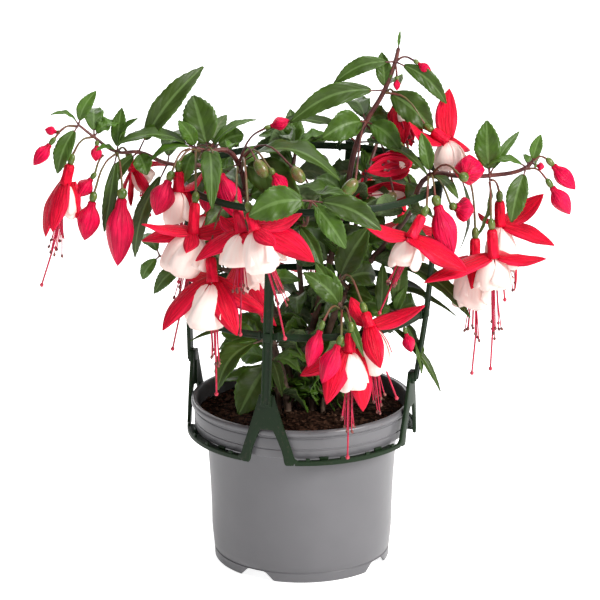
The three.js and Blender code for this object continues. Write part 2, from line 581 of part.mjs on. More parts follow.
// A flat strip with a shallow groove down its outer face.
function stake(azimuth, grow) {
  const w = SUPPORT.stakeWidth / 2 + grow;
  const d = SUPPORT.stakeThickness / 2 + grow;
  const groove = grow ? 0 : SUPPORT.groove;
  const shape = new THREE.Shape([
    [-w, -d], [-w * 0.6, -d], [-w * 0.45, -d + groove], [w * 0.45, -d + groove], [w * 0.6, -d],
    [w, -d], [w, d], [-w, d],
  ].map((p) => new THREE.Vector2(...p)));
  const height = SUPPORT.stakeTop - SUPPORT.stakeFoot + 2 * grow;
  const geometry = new THREE.ExtrudeGeometry(shape, { depth: height, steps: 3, bevelEnabled: false });
  geometry.rotateZ(azimuth).translate(0, 0, SUPPORT.stakeFoot - grow);
  const corners = geometry.attributes.position;
  for (let k = 0; k < corners.count; k += 1) {
    const { offset, radius } = supportAt(corners.getZ(k));
    const middle = outward(azimuth).multiplyScalar(radius);
    corners.setXYZ(k, corners.getX(k) + middle.x + offset, corners.getY(k) + middle.y, corners.getZ(k));
  }
  return solid(geometry);
}

function band(inner, outer, bottom, top, segments) {
  const geometry = turned([[inner, bottom], [outer, bottom], [outer, top], [inner, top], [inner, bottom]],
    segments);
  return solid(geometry);
}

// A ring lies just inside the stakes.
function ring(z, grow) {
  const { offset, radius } = supportAt(z);
  const outer = radius - SUPPORT.stakeThickness / 2 - GAP;
  const half = SUPPORT.ringHeight / 2;
  return band(outer - SUPPORT.ringThickness - grow, outer + grow, z - half - grow, z + half + grow, 36)
    .translate([offset, 0, 0]);
}

// The forked plate that carries a stake: two legs that meet in a web under the stake.
function forkPlate(azimuth, grow) {
  const top = SUPPORT.plateTopWidth / 2 + grow;
  const out = SUPPORT.legSpread / 2 + grow;
  const inner = SUPPORT.legSpread / 2 - SUPPORT.legWidth;
  const foot = SUPPORT.clipBottom + 1;
  const outline = [
    [-top, SUPPORT.plateTop], [-out, SUPPORT.clipTop], [-out, foot], [-inner, foot],
    [-4.5, SUPPORT.crotch], [4.5, SUPPORT.crotch], [inner, foot], [out, foot],
    [out, SUPPORT.clipTop], [top, SUPPORT.plateTop],
  ];
  const depth = SUPPORT.plateThickness + 2 * grow;
  const shape = new THREE.Shape(outline.map((p) => new THREE.Vector2(...p)));
  const geometry = new THREE.ExtrudeGeometry(shape, { depth, bevelEnabled: false });
  const corners = geometry.attributes.position;
  const innerFace = SUPPORT.clipRadius - SUPPORT.plateThickness + 0.2 - grow;
  for (let k = 0; k < corners.count; k += 1) {
    const bend = azimuth + corners.getX(k) / SUPPORT.clipRadius;
    const point = outward(bend).multiplyScalar(innerFace + corners.getZ(k));
    corners.setXYZ(k, point.x, point.y, corners.getY(k));
  }
  return solid(geometry);
}

// Stretches of an L-shaped band hook under the pot's skirt between the forked plates.
function clipBase(grow) {
  const outer = SUPPORT.clipRadius + grow;
  const wall = band(outer - SUPPORT.clipWall - 2 * grow, outer, SUPPORT.clipBottom - grow,
    SUPPORT.clipTop + grow, 48);
  const flange = band(SUPPORT.clipFlange - grow, outer, SUPPORT.clipBottom - grow,
    SUPPORT.clipBottom + 1.6 + grow, 48);
  let body = wall.add(flange);
  const betweenLegs = SUPPORT.legSpread - 2 * SUPPORT.legWidth;
  for (let k = 0; k < SUPPORT.stakeCount; k += 1) {
    const opening = new THREE.BoxGeometry(betweenLegs, 20, 20);
    opening.translate(0, -SUPPORT.clipRadius + 4, SUPPORT.clipBottom).rotateZ(stakeAzimuth(k));
    const behindLegs = new THREE.BoxGeometry(SUPPORT.legSpread, 14, 20);
    behindLegs.translate(0, -SUPPORT.clipRadius + SUPPORT.plateThickness + 7, SUPPORT.clipBottom);
    behindLegs.rotateZ(stakeAzimuth(k));
    body = body.subtract(solid(opening)).subtract(solid(behindLegs));
  }
  for (let k = 0; k < SUPPORT.stakeCount; k += 1) {
    body = body.add(forkPlate(stakeAzimuth(k), grow));
  }
  return body;
}

// ---------- assembly ----------

place('pot', () => pot(), COLOUR.pot, 0.45);
placed.pop();
place('support_base', clipBase, COLOUR.support, 0.5);
const sides = ['front', 'right', 'back', 'left'];
sides.forEach((side, k) => {
  place(`support_stake_${side}`, (grow) => stake(stakeAzimuth(k), grow), COLOUR.support, 0.5);
});
for (const [level, z] of Object.entries(RING_HEIGHTS)) {
  place(`support_ring_${level}`, (grow) => ring(z, grow), COLOUR.support, 0.5);
}
for (const name of Object.keys(SHOOTS)) {
  place(name, (grow) => shoot(name, grow), COLOUR.leaf, 0.55);
}
place('soil', () => soil(), COLOUR.soil, 1);
for (const [name, row] of Object.entries(FLOWERS)) {
  place(name, (grow) => flower(row, grow), COLOUR.sepal, 0.5);
}
for (const [name, row] of Object.entries(BUDS)) {
  place(name, (grow) => bud(row, grow), COLOUR.bud, 0.45);
}

export default group;
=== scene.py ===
"""A flowering fuchsia in its nursery pot, with a clip-on plant support, as a Blender add-on."""
import math
import random

import bpy
import numpy as np
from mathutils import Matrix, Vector, noise


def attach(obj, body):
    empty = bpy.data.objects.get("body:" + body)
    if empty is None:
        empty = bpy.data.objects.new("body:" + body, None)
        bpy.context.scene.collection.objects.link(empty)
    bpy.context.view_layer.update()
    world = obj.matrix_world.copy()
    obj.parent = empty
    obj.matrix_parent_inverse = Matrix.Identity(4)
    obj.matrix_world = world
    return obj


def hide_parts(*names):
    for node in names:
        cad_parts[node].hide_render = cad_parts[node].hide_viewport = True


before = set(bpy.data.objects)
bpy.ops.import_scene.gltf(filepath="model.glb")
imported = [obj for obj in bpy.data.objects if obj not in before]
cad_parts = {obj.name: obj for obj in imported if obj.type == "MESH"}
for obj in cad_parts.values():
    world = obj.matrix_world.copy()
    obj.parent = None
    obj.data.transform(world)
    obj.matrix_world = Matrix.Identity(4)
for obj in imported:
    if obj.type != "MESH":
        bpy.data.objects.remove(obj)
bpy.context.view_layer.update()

bl_info = {
    "name": "Potted Fuchsia",
    "version": (1, 0, 0),
    "blender": (4, 5, 0),
    "location": "View3D > Sidebar > Fuchsia",
    "description": "Builds a flowering fuchsia with its pot, compost and plant support",
    "category": "Object",
}

MM = 0.001

# The way a leaf's upper side faces.
UP = [0, -0.35, 1]
FRONT = [0, -1, 0.35]
RIGHT = [1, -0.4, 0.2]
BACK = [0, 1, 0.35]

# ---------- the plant's layout, in millimetres ----------

# A shoot has a stem along its path. Each of its leaves is
# [point of the path, reach in x, y and z, width, way it faces],
# and each of its fruits or small buds is [start, top, reach of the body, radius].
SHOOTS = {
    "left_shoot": {
        "radius": 2.1,
        "path": [
            [-9, -1, 91], [-11, -2, 119], [-19, -5, 151], [-29, -8, 194], [-37, -8, 232],
            [-37, -5, 254], [-42, -3, 276], [-50, -8, 287], [-62, -14, 288], [-70, -18, 291],
        ],
        "leaves": [
            [9, -11, -4, 20, 10, FRONT], [9, -8, -12, -21, 10, FRONT], [9, -30, -10, -6, 8, UP],
            [9, -52, -6, 4, 15, UP], [8, -10, 16, 34, 22, FRONT], [8, 32, 14, 18, 8, UP],
            [7, 5, 18, -2, 8, UP], [6, 67, -37, -1, 20, UP], [6, 43, -39, -22, 24, FRONT],
            [5, -27, -25, -14, 18, FRONT], [4, 17, -12, -19, 16, FRONT], [3, -18, 18, 11, 16, UP],
            [2, -34, 10, 14, 17, UP],
            [8, 4, -62, -22, 13, FRONT],
            [5, -20, 34, 2, 16, UP], [4, 22, -22, 22, 17, UP],
        ],
        "fruits": [
            [[-42, -4, 278], [-30, -44, 290], [7, -2, -11], 4.2],
            [[-42, -4, 278], [-6, -50, 287], [7, -2, -10], 4],
        ],
        "buds": [
            [[-42, -3, 276], [-25, 0, 300], [17, 2, 5], 4.5],
            [[-66, -16, 289], [-62, -30, 272], [-1, -2, -21], 5],
        ],
    },
    "far_left_shoot": {
        "radius": 1.3,
        "path": [
            [-36, -6, 255], [-64, -6, 275], [-89, -8, 278], [-108, -12, 287], [-122, -12, 287],
            [-137, -15, 298], [-147, -18, 307],
        ],
        "leaves": [
            [6, 12, 0, 23, 9, FRONT], [6, -18, -4, 8, 5, UP], [6, -14, -8, -31, 12, FRONT],
            [5, 17, 7, 8, 13, UP], [4, 3, 8, 28, 10, FRONT], [4, 14, -8, 25, 7, UP],
            [3, 43, 12, 55, 16, FRONT], [4, -14, -8, 3, 6, UP], [4, -9, -10, -52, 9, FRONT],
            [3, -19, 4, -24, 9, FRONT], [2, -23, 8, -67, 10, FRONT], [3, 6, -10, -13, 13, FRONT],
            [1, -11, 14, -28, 14, FRONT], [5, -2, 30, 12, 13, UP], [2, 6, 38, 8, 15, UP],
        ],
        "buds": [
            [[-148, -18, 306], [-159, -20, 302], [-10, -2, 3], 3.5],
            [[-137, -15, 298], [-135, -16, 296], [-1, -2, -14], 4.4],
        ],
    },
    "left_inner_shoot": {
        "radius": 1.3,
        "path": [
            [-29, -6, 190], [-52, 10, 199], [-76, 13, 203], [-96, 16, 207],
        ],
        "leaves": [
            [3, -12, 2, -17, 9, FRONT], [2, -24, -2, -21, 10, FRONT], [1, -17, 10, -24, 14, UP],
            [3, -14, 20, 8, 11, UP], [2, -6, 30, 14, 15, UP],
            [1, -14, 30, 2, 16, UP],
        ],
    },
    "centre_shoot": {
        "radius": 1.2,
        "path": [
            [-37, -6, 246], [-20, -22, 253], [-4, -36, 246], [2, -48, 247], [4, -68, 262],
            [6, -90, 275],
        ],
        "leaves": [
            [2, 26, -16, 8, 9, UP], [2, 18, -18, -29, 9, FRONT], [2, 31, 16, 6, 15, UP],
            [1, 12, -8, -25, 14, FRONT], [5, 45, -8, -17, 17, FRONT], [5, -40, -7, -8, 21, FRONT],
            [5, 13, -10, -16, 8, FRONT], [4, 26, -24, 15, 12, UP],
            [5, 22, -12, -28, 14, FRONT],
        ],
    },
    "top_shoot": {
        "radius": 2,
        "path": [
            [-1, 7, 91], [-1, 8, 116], [7, 12, 156], [19, 16, 203], [29, 18, 246], [37, 16, 286],
            [43, 14, 301], [55, 12, 323], [62, 10, 343], [64, 10, 352],
        ],
        "leaves": [
            [8, -41, -4, -14, 11, FRONT], [7, -2, 4, 25, 11, FRONT], [9, 1, 0, 12, 2, FRONT],
            [8, 34, -6, -27, 11, FRONT], [7, -63, -12, -19, 15, FRONT],
            [7, 32, -12, -24, 19, FRONT], [6, -30, -18, -7, 20, FRONT],
            [6, 23, -14, -17, 16, FRONT], [6, 15, 12, 1, 12, FRONT], [5, -63, -14, 10, 13, UP],
            [5, 47, -26, -16, 9, UP], [4, 25, -34, -16, 18, UP], [4, -19, 12, 12, 16, UP],
            [3, -20, 18, 17, 18, UP], [3, 25, 18, 18, 18, UP], [2, 23, 32, 11, 18, UP],
            [7, 10, 34, -6, 14, UP], [6, -12, 36, 4, 16, UP],
            [4, -34, -22, 4, 17, UP],
        ],
        "fruits": [
            [[43, 14, 301], [36, -30, 273], [-9, -2, -11], 4.5],
            [[43, 14, 299], [62, 0, 256], [-6, -2, -10], 4.2],
        ],
        "buds": [
            [[62, 10, 341], [63, 7, 334], [0, 0, -10], 2.6],
            [[62, 10, 343], [74, 6, 345], [12, -2, -8], 3.2],
        ],
    },
    "right_shoot": {
        "radius": 2,
        "path": [
            [8, 1, 91], [8, 1, 115], [16, 2, 152], [29, 0, 184], [46, -2, 209], [58, -6, 224],
            [71, -10, 244], [85, -15, 272], [105, -18, 272], [124, -20, 273], [148, -22, 279],
            [152, -22, 283],
        ],
        "leaves": [
            [9, -2, 6, 36, 17, FRONT], [10, -26, -2, 2, 9, UP], [9, 20, 12, 27, 6, FRONT],
            [11, 5, -2, 19, 8, FRONT], [10, -10, -12, -34, 14, FRONT], [9, -10, 2, -46, 9, RIGHT],
            [8, 1, 8, -52, 8, RIGHT], [7, -6, 3, 28, 10, FRONT], [7, 18, -19, -11, 7, UP],
            [6, 22, 20, -18, 14, UP], [5, 12, -24, -1, 14, FRONT], [4, 66, -32, -30, 13, UP],
            [4, -15, -20, 12, 16, FRONT], [3, 74, -20, -8, 7, UP], [3, 18, -26, 5, 14, FRONT],
            [9, -4, 38, 6, 15, UP], [8, 6, 34, -14, 14, UP], [10, 8, 26, -4, 10, UP],
            [6, 10, 36, 8, 16, UP],
        ],
        "buds": [
            [[152, -22, 282], [153, -24, 281], [7, 0, -1], 3],
        ],
    },
    "front_shoot": {
        "radius": 1.2,
        "path": [
            [33, -1, 188], [24, -30, 203], [26, -62, 194],
        ],
        "leaves": [
            [1, 20, -6, 39, 19, FRONT], [2, -17, 2, 31, 13, FRONT], [2, -25, -4, 26, 14, FRONT],
            [2, 14, -34, -22, 6, FRONT], [2, -1, -10, -6, 4, FRONT],
        ],
    },
    "low_left_shoot": {
        "radius": 1.4,
        "path": [
            [-15, -11, 91], [-16, -14, 120], [-21, -26, 147], [-26, -34, 163],
        ],
        "leaves": [
            [3, -30, -16, -29, 18, UP], [2, -21, -22, -31, 23, FRONT], [2, 20, -14, -4, 11, UP],
            [3, -48, -10, 3, 5, UP], [2, 8, -32, -15, 8, UP], [1, -38, 8, 6, 16, UP],
        ],
    },
    "low_right_shoot": {
        "radius": 1.4,
        "path": [
            [14, -5, 91], [16, -6, 117], [33, -8, 148], [52, -12, 172], [63, -14, 177],
        ],
        "leaves": [
            [3, 2, -4, 40, 9, FRONT], [4, 5, -6, 41, 11, FRONT], [4, 7, -8, 20, 7, FRONT],
            [4, 17, -20, -37, 13, RIGHT], [3, 41, -18, -46, 6, UP], [2, -8, -22, 11, 14, FRONT],
            [2, 30, 26, 4, 15, UP],
        ],
        "buds": [
            [[63, -14, 177], [68, -36, 173], [5, -2, -17], 4.2],
        ],
    },
    "back_left_shoot": {
        "radius": 1.8,
        "path": [
            [-6, 12, 91], [-8, 16, 120], [-18, 32, 160], [-32, 50, 205], [-46, 66, 243],
            [-60, 80, 266],
        ],
        "leaves": [
            [5, -34, 16, 4, 15, UP], [5, -12, 30, -20, 14, BACK], [5, 8, 20, 18, 12, BACK],
            [4, -40, 4, -16, 17, UP], [4, 26, 30, -8, 18, BACK], [3, -38, 18, -14, 18, BACK],
            [3, 30, 26, -6, 17, BACK], [2, -36, 22, 4, 17, BACK], [2, 28, 30, -2, 17, BACK],
            [1, -30, 20, 10, 16, UP], [5, -14, -16, 14, 12, UP],
            [4, -20, 26, 14, 16, UP], [3, 6, 34, 6, 16, BACK],
        ],
        "fruits": [
            [[-60, 80, 266], [-66, 92, 260], [-3, 3, -15], 4.5],
        ],
    },
    "back_shoot": {
        "radius": 1.8,
        "path": [
            [2, 15, 91], [2, 20, 125], [0, 40, 170], [-4, 62, 214], [-6, 84, 246], [-4, 96, 262],
        ],
        "leaves": [
            [5, 2, 18, 16, 12, BACK], [5, -26, 8, 6, 14, UP], [5, 26, 8, 4, 14, UP],
            [5, -4, 4, 26, 12, FRONT], [4, -36, 6, -8, 17, BACK], [4, 34, 8, -10, 17, BACK],
            [3, -34, 14, 2, 18, BACK], [3, 32, 16, -4, 18, BACK], [2, -30, 22, 4, 17, BACK],
            [2, 30, 22, 0, 17, BACK], [1, 4, 34, 14, 16, BACK],
            [4, -18, 26, 12, 15, UP], [3, 4, 30, 12, 16, UP],
        ],
    },
    "back_right_shoot": {
        "radius": 1.8,
        "path": [
            [8, 12, 91], [10, 17, 120], [20, 34, 162], [34, 50, 206], [44, 60, 250],
            [54, 74, 278],
        ],
        "leaves": [
            [5, 30, 18, 4, 15, UP], [5, 4, 34, -12, 14, BACK], [5, -20, 16, 14, 12, BACK],
            [4, 38, 8, -14, 17, UP], [4, -26, 28, -10, 18, BACK], [3, 40, 14, -12, 18, BACK],
            [3, -28, 28, -6, 17, BACK], [2, 38, 20, 2, 17, BACK], [2, -26, 32, 0, 17, BACK],
            [1, 34, 18, 8, 16, UP], [5, 12, -14, 16, 12, UP],
            [5, -16, 30, -6, 15, UP], [4, 10, 34, 12, 16, UP],
        ],
        "fruits": [
            [[54, 74, 278], [66, 90, 270], [3, 3, -14], 4.2],
        ],
    },
}

# A flower is [start of the stalk, top of the ovary, reach of the tube, reach of each of four
# sepals, reach of the corolla, its radius, reach of the stamens, reach of the style].
FLOWERS = {
    "flower_far_left": [
        [-138, -15, 298], [-151, -20, 288], [-5, -2, -20],
        [[-14, -2, -36], [-3, 16, -43], [8, 0, -25], [-8, -18, -28]], [0, 0, -24], 8,
        [-8, -4, -46], [-17, -2, -69],
    ],
    "flower_left_behind": [
        [-122, -12, 287], [-116, 0, 284], [4, 2, -12],
        [[-15, -2, -33], [13, -10, -19], [-2, -8, -24], [21, 8, 0]], [9, 4, -11], 8, [9, 4, -23],
        [10, 4, -33],
    ],
    "flower_left": [
        [-70, -20, 290], [-69, -52, 271], [-2, -6, -27],
        [[-33, -8, 9], [-34, 8, -7], [34, -4, 12], [-4, -20, -7]], [-7, 0, -25], 16,
        [-9, -2, -45], [-14, -2, -78],
    ],
    "flower_left_upper": [
        [-67, -18, 289], [-81, -30, 286], [0, -2, -20],
        [[17, -2, 15], [9, -4, -15], [-13, 6, -12], [-2, 8, -26]], [-1, 0, -20], 9, [-1, 0, -34],
        [-2, 0, -41],
    ],
    "flower_centre_left": [
        [-42, -8, 272], [-43, -60, 267], [4, -18, -17],
        [[-30, -2, -18], [-14, 18, 7], [13, -20, -7], [-1, 20, -25]], [0, -2, -21], 13.5,
        [-1, -4, -40], [-1, -4, -67],
    ],
    "flower_centre": [
        [-40, -6, 272], [-35, -88, 274], [5, -8, -17],
        [[30, 6, 10], [38, -10, -18], [13, -21, -4], [4, 20, 11]], [7, 0, -26], 13.5,
        [19, -4, -48], [19, -4, -71],
    ],
    "flower_lower_left": [
        [-44, -10, 250], [-60, -66, 238], [2, -8, -22],
        [[16, -18, -31], [-33, -4, -32], [36, 8, -24], [-19, 22, 1]], [-5, 0, -31], 15,
        [2, -2, -58], [2, -2, -76],
    ],
    "flower_inner_left": [
        [-37, -6, 254], [-42, -40, 243], [4, -4, -22],
        [[21, -6, -43], [-8, -8, -24], [8, 10, -31], [-15, 8, -22]], [12, 0, -18], 11,
        [12, -2, -29], [12, -2, -40],
    ],
    "flower_centre_right": [
        [84, -17, 271], [82, -52, 261], [-11, -10, -19],
        [[-30, -4, 10], [37, -4, -21], [5, -22, -1], [15, 26, -6]], [-4, 0, -19], 11.5,
        [-12, -2, -31], [-20, -2, -50],
    ],
    "flower_upper_right": [
        [56, 10, 322], [81, 0, 303], [15, -4, -11],
        [[2, 8, 34], [-25, -10, 16], [17, 24, -12], [5, 26, -20]], [3, 4, -19], 10, [4, 4, -27],
        [6, 4, -34],
    ],
    "flower_opening": [
        [56, 12, 321], [61, 19, 321], [4, -1, -11],
        [[3, -6, -24], [16, -3, -18], [-6, 6, -12], [9, 10, -30]], [3, 0, -9], 3.5, [7, 0, -26],
        [8, 0, -33],
    ],
    "flower_right_behind": [
        [125, -20, 270], [131, -14, 261], [1, 2, -24],
        [[29, 8, 19], [36, -8, -12], [-14, 12, 5], [11, 6, -48]], [2, 0, -33], 11, [6, 0, -45],
        [4, 0, -52],
    ],
    "flower_right": [
        [124, -22, 269], [124, -46, 251], [2, -2, -26],
        [[-46, -14, -13], [34, -6, 1], [-14, 26, -11], [25, 28, -12]], [0, 0, -22], 12.5,
        [2, -2, -55], [-1, -2, -76],
    ],
    "flower_right_inner": [
        [111, -19, 270], [115, -22, 238], [0, -2, -22],
        [[-3, -20, -14], [-15, 14, -10], [18, 16, -15], [-24, -14, -6]], [-4, -2, -34], 13,
        [-1, -2, -55], [-1, -2, -78],
    ],
    "flower_lying": [
        [47, 14, 290], [78, 8, 271], [-8, -4, 4],
        [[-24, -6, 4], [-15, 10, 4], [-27, -10, -3], [-12, 0, -11]], [-6, -1, -1], 3.2,
        [-15, -4, -2], [-18, -4, -3],
    ],
    "flower_inner_right": [
        [47, 16, 290], [76, 20, 252], [-7, -4, -2],
        [[-34, -10, 1], [-19, 4, 5], [-20, -12, -3], [5, 8, -10]], [-24, -6, -1], 4, [-30, -10, 0],
        [-37, -12, 0],
    ],
    "flower_front": [
        [26, -62, 194], [32, -84, 192], [-1, -4, -19],
        [[-15, -16, -31], [9, -4, -40], [-32, 4, -18], [20, 14, -14]], [3, -2, -27], 10,
        [-1, -2, -53], [-1, -2, -72],
    ],
    "flower_front_right": [
        [24, -30, 203], [39, -76, 203], [5, -7, -15],
        [[36, 6, 13], [7, -16, -23], [-12, 18, 15], [15, 20, -24]], [6, 2, -28], 9.5, [7, 0, -56],
        [18, 2, -49],
    ],
    "flower_back_left": [
        [-46, 66, 243], [-62, 90, 236], [-2, 3, -22],
        [[-26, 8, -14], [20, 10, -16], [4, 22, -16], [-8, -18, -22]], [0, 0, -24], 12,
        [0, 2, -44], [-2, 2, -66],
    ],
    "flower_back_left_end": [
        [-60, 80, 266], [-80, 88, 256], [-3, 2, -22],
        [[-30, 4, -6], [22, 12, -10], [-4, 22, -16], [-2, -20, -20]], [0, 0, -24], 11.5,
        [-1, 1, -46], [-3, 2, -68],
    ],
    "flower_back": [
        [-6, 84, 246], [6, 92, 234], [1, 3, -22],
        [[28, 6, -8], [-28, 6, -8], [0, 22, -16], [4, -20, -20]], [0, 0, -26], 12.5, [0, 2, -48],
        [1, 3, -72],
    ],
    "flower_back_low": [
        [-4, 62, 214], [-22, 84, 202], [-1, 3, -20],
        [[-26, 8, -10], [24, 10, -12], [0, 22, -18], [-2, -18, -22]], [0, 0, -24], 11.5,
        [-1, 2, -44], [-2, 2, -66],
    ],
    "flower_back_right": [
        [54, 74, 278], [46, 94, 262], [-1, 3, -22],
        [[26, 8, -12], [-24, 10, -12], [2, 20, -20], [2, -20, -16]], [0, 0, -24], 12, [1, 2, -44],
        [2, 2, -64],
    ],
    "flower_back_right_low": [
        [44, 60, 250], [68, 84, 232], [2, 2, -22],
        [[28, 4, -10], [-22, 12, -12], [6, 22, -16], [0, -20, -20]], [0, 0, -24], 12, [1, 1, -46],
        [2, 2, -70],
    ],
}

# A bud is [start of the stalk, top of the ovary, reach of the body, radius].
BUDS = {
    "bud_far_left": [[-149, -18, 306], [-162, -24, 300], [-14.5, -4, -18], 5.5],
    "bud_left_small": [[-131, -16, 286], [-136, -20, 275], [-12, -2, -16], 5.5],
    "bud_left_opening": [[-122, -14, 287], [-137, -24, 263], [-7, -2, -33], 8],
    "bud_left_long": [[-122, -14, 287], [-118, -30, 267], [-4, -2, -53], 10],
    "bud_left_pink": [[-74, -19, 291], [-85, -34, 280], [-11, -6, -29], 8],
    "bud_centre_left": [[-64, -16, 289], [-56, -44, 287], [15, -10, -35], 8.5],
    "bud_centre": [[-42, -4, 278], [-21, -46, 285], [11, -2, -16], 6],
    "bud_right_round": [[85, -15, 272], [105, -46, 278], [9, 34, 1], 10],
    "bud_right_inner": [[85, -15, 271], [97, -40, 258], [16, 6, -6], 8.5],
    "bud_centre_right": [[85, -16, 271], [87, -44, 266], [12, -4, -41], 9.5],
    "bud_far_right_upper": [[153, -22, 284], [161, -24, 286], [19.5, -2, -21], 6.5],
    "bud_far_right_lower": [[148, -22, 278], [161, -28, 273], [16, -2, -24], 6.3],
    "bud_front_left": [[26, -63, 193], [14, -88, 194], [-10, -6, -30], 5.8],
    "bud_front": [[26, -63, 193], [26, -94, 186], [-13, -6, -31], 6.8],
}

# Heights, centre offsets to the right and radii of the support's stakes.
SUPPORT_LEVELS = [(132, 0.2, 79.8), (180, 3, 84), (266, 7, 88), (280, 7.6, 88.6)]
# The azimuths of the stakes, in degrees from the front to the right.
STAKES = {"front": -17.5, "right": 72.5, "back": 162.5, "left": 252.5}
# The heights of the rings.
RINGS = {"middle": 180, "top": 266}


# ---------- modelling helpers ----------


def start_piece(add, name, **settings):
    """A new piece from one of Blender's primitives at the origin, selected alone."""
    bpy.ops.object.select_all(action="DESELECT")
    add(location=(0, 0, 0), **settings)
    piece = bpy.context.object
    piece.name = name
    return piece


def only(piece):
    """Selects a piece alone and makes it active."""
    bpy.ops.object.select_all(action="DESELECT")
    piece.select_set(True)
    bpy.context.view_layer.objects.active = piece


def get_points(piece):
    flat = np.empty(len(piece.data.vertices) * 3)
    piece.data.vertices.foreach_get("co", flat)
    return flat.reshape(-1, 3)


def set_points(piece, places):
    piece.data.vertices.foreach_set("co", np.ascontiguousarray(places).ravel())
    piece.data.update()


def select_points(piece, chosen):
    """Goes into edit mode with only the chosen points selected."""
    only(piece)
    mesh = piece.data
    mesh.polygons.foreach_set("select", np.zeros(len(mesh.polygons), bool))
    mesh.edges.foreach_set("select", np.zeros(len(mesh.edges), bool))
    mesh.vertices.foreach_set("select", np.ascontiguousarray(chosen, bool))
    bpy.context.tool_settings.mesh_select_mode = (True, False, False)
    bpy.ops.object.mode_set(mode="EDIT")


def leave_edit():
    bpy.ops.object.mode_set(mode="OBJECT")


def apply_modifier(piece, kind, **settings):
    only(piece)
    modifier = piece.modifiers.new(kind.title(), kind)
    for name, value in settings.items():
        setattr(modifier, name, value)
    bpy.ops.object.modifier_apply(modifier=modifier.name)


def soften(piece, width, segments=2, degrees=None):
    """Rounds a piece's edges; given an angle, only the edges that are sharper."""
    settings = {"width": width * MM, "segments": segments}
    if degrees is not None:
        settings.update(limit_method="ANGLE", angle_limit=math.radians(degrees))
    apply_modifier(piece, "BEVEL", **settings)


def shade(piece, degrees=None):
    """Smooth shading; given an angle, sharper edges stay sharp."""
    only(piece)
    if degrees is None:
        bpy.ops.object.shade_smooth()
    else:
        bpy.ops.object.shade_smooth_by_angle(angle=math.radians(degrees))


def recalculate(piece):
    only(piece)
    bpy.ops.object.mode_set(mode="EDIT")
    bpy.ops.mesh.select_all(action="SELECT")
    bpy.ops.mesh.remove_doubles(threshold=0.00001)
    bpy.ops.mesh.normals_make_consistent(inside=False)
    leave_edit()


def join(parts, name):
    """Makes one piece of the parts."""
    bpy.ops.object.select_all(action="DESELECT")
    for part in parts:
        part.select_set(True)
    bpy.context.view_layer.objects.active = parts[0]
    if len(parts) > 1:
        bpy.ops.object.join()
    whole = parts[0]
    whole.name = name
    whole.data.name = name
    return whole


def set_in_place(piece):
    only(piece)
    bpy.ops.object.transform_apply(location=True, rotation=True, scale=True)


def give(piece, *materials):
    """Gives a piece its finishes and hands the piece back."""
    piece.data.materials.clear()
    for material in materials:
        piece.data.materials.append(material)
    return piece


def stands_for(piece, node):
    """Puts a piece in the place of a CAD node, on the plant's one body."""
    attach(piece, "root")
    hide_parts(node)
    bpy.ops.object.select_all(action="DESELECT")


def new_cube(name):
    return start_piece(bpy.ops.mesh.primitive_cube_add, name, size=1)


def about_z(places, azimuth):
    """Places turned about the pot's axis, in degrees from the front to the right."""
    turn = math.radians(azimuth)
    x, y = places[:, 0].copy(), places[:, 1].copy()
    places[:, 0] = x * math.cos(turn) - y * math.sin(turn)
    places[:, 1] = x * math.sin(turn) + y * math.cos(turn)
    return places


def cut_away(piece, cutter):
    """Cuts the cutter's shape out of a piece and deletes the cutter."""
    apply_modifier(piece, "BOOLEAN", operation="DIFFERENCE", solver="EXACT", object=cutter)
    bpy.data.objects.remove(cutter, do_unlink=True)


def ends_of(piece, *slices):
    """Marks the points of a piece that lie in the slices of its list of points."""
    chosen = np.zeros(len(piece.data.vertices), bool)
    for part in slices:
        chosen[part] = True
    return chosen


def turned(name, profile, around=96):
    """A closed form turned about Z from a profile of (radius, height) in millimetres.
    A profile that starts and ends on the axis is capped; any other closes on itself."""
    capped = profile[0][0] == 0
    rings = profile[1:-1] if capped else profile
    piece = start_piece(
        bpy.ops.mesh.primitive_circle_add, name,
        vertices=around, radius=rings[0][0] * MM, fill_type="NOTHING",
    )
    set_in_place(piece)
    first = get_points(piece)
    first[:, 2] = rings[0][1] * MM
    set_points(piece, first)
    select_points(piece, np.ones(len(first), bool))
    for (old_r, old_z), (r, z) in zip(rings, rings[1:]):
        bpy.ops.mesh.extrude_edges_move()
        bpy.ops.transform.resize(value=(r / old_r, r / old_r, 1), center_override=(0, 0, 0))
        bpy.ops.transform.translate(value=(0, 0, (z - old_z) * MM))
    if capped:
        cap_ring(profile[-1][1] - rings[-1][1])
        leave_edit()
        select_points(piece, ends_of(piece, slice(0, around)))
        cap_ring(profile[0][1] - rings[0][1])
    else:
        leave_edit()
        select_points(piece, ends_of(piece, slice(0, around), slice(-around, None)))
        bpy.ops.mesh.bridge_edge_loops()
    leave_edit()
    recalculate(piece)
    return piece


def cap_ring(rise):
    """Closes the selected ring over its middle."""
    bpy.ops.mesh.extrude_edges_move()
    bpy.ops.transform.translate(value=(0, 0, rise * MM))
    bpy.ops.mesh.merge(type="CENTER")


def rods(name, paths, material, sides=2, steps=4):
    """Round rods along smooth paths. A path is a list of ((x, y, z), radius) in millimetres."""
    piece = start_piece(bpy.ops.curve.primitive_bezier_curve_add, name)
    curve = piece.data
    curve.splines.clear()
    for path in paths:
        spline = curve.splines.new("BEZIER")
        spline.bezier_points.add(len(path) - 1)
        for knot, (place, radius) in zip(spline.bezier_points, path):
            knot.co = Vector(place) * MM
            knot.radius = radius
            knot.handle_left_type = knot.handle_right_type = "AUTO"
    curve.dimensions = "3D"
    curve.resolution_u = steps
    curve.bevel_depth = MM
    curve.bevel_resolution = sides
    curve.use_fill_caps = True
    curve.materials.append(material)
    bpy.ops.object.convert(target="MESH")
    set_in_place(piece)
    shade(piece)
    return piece


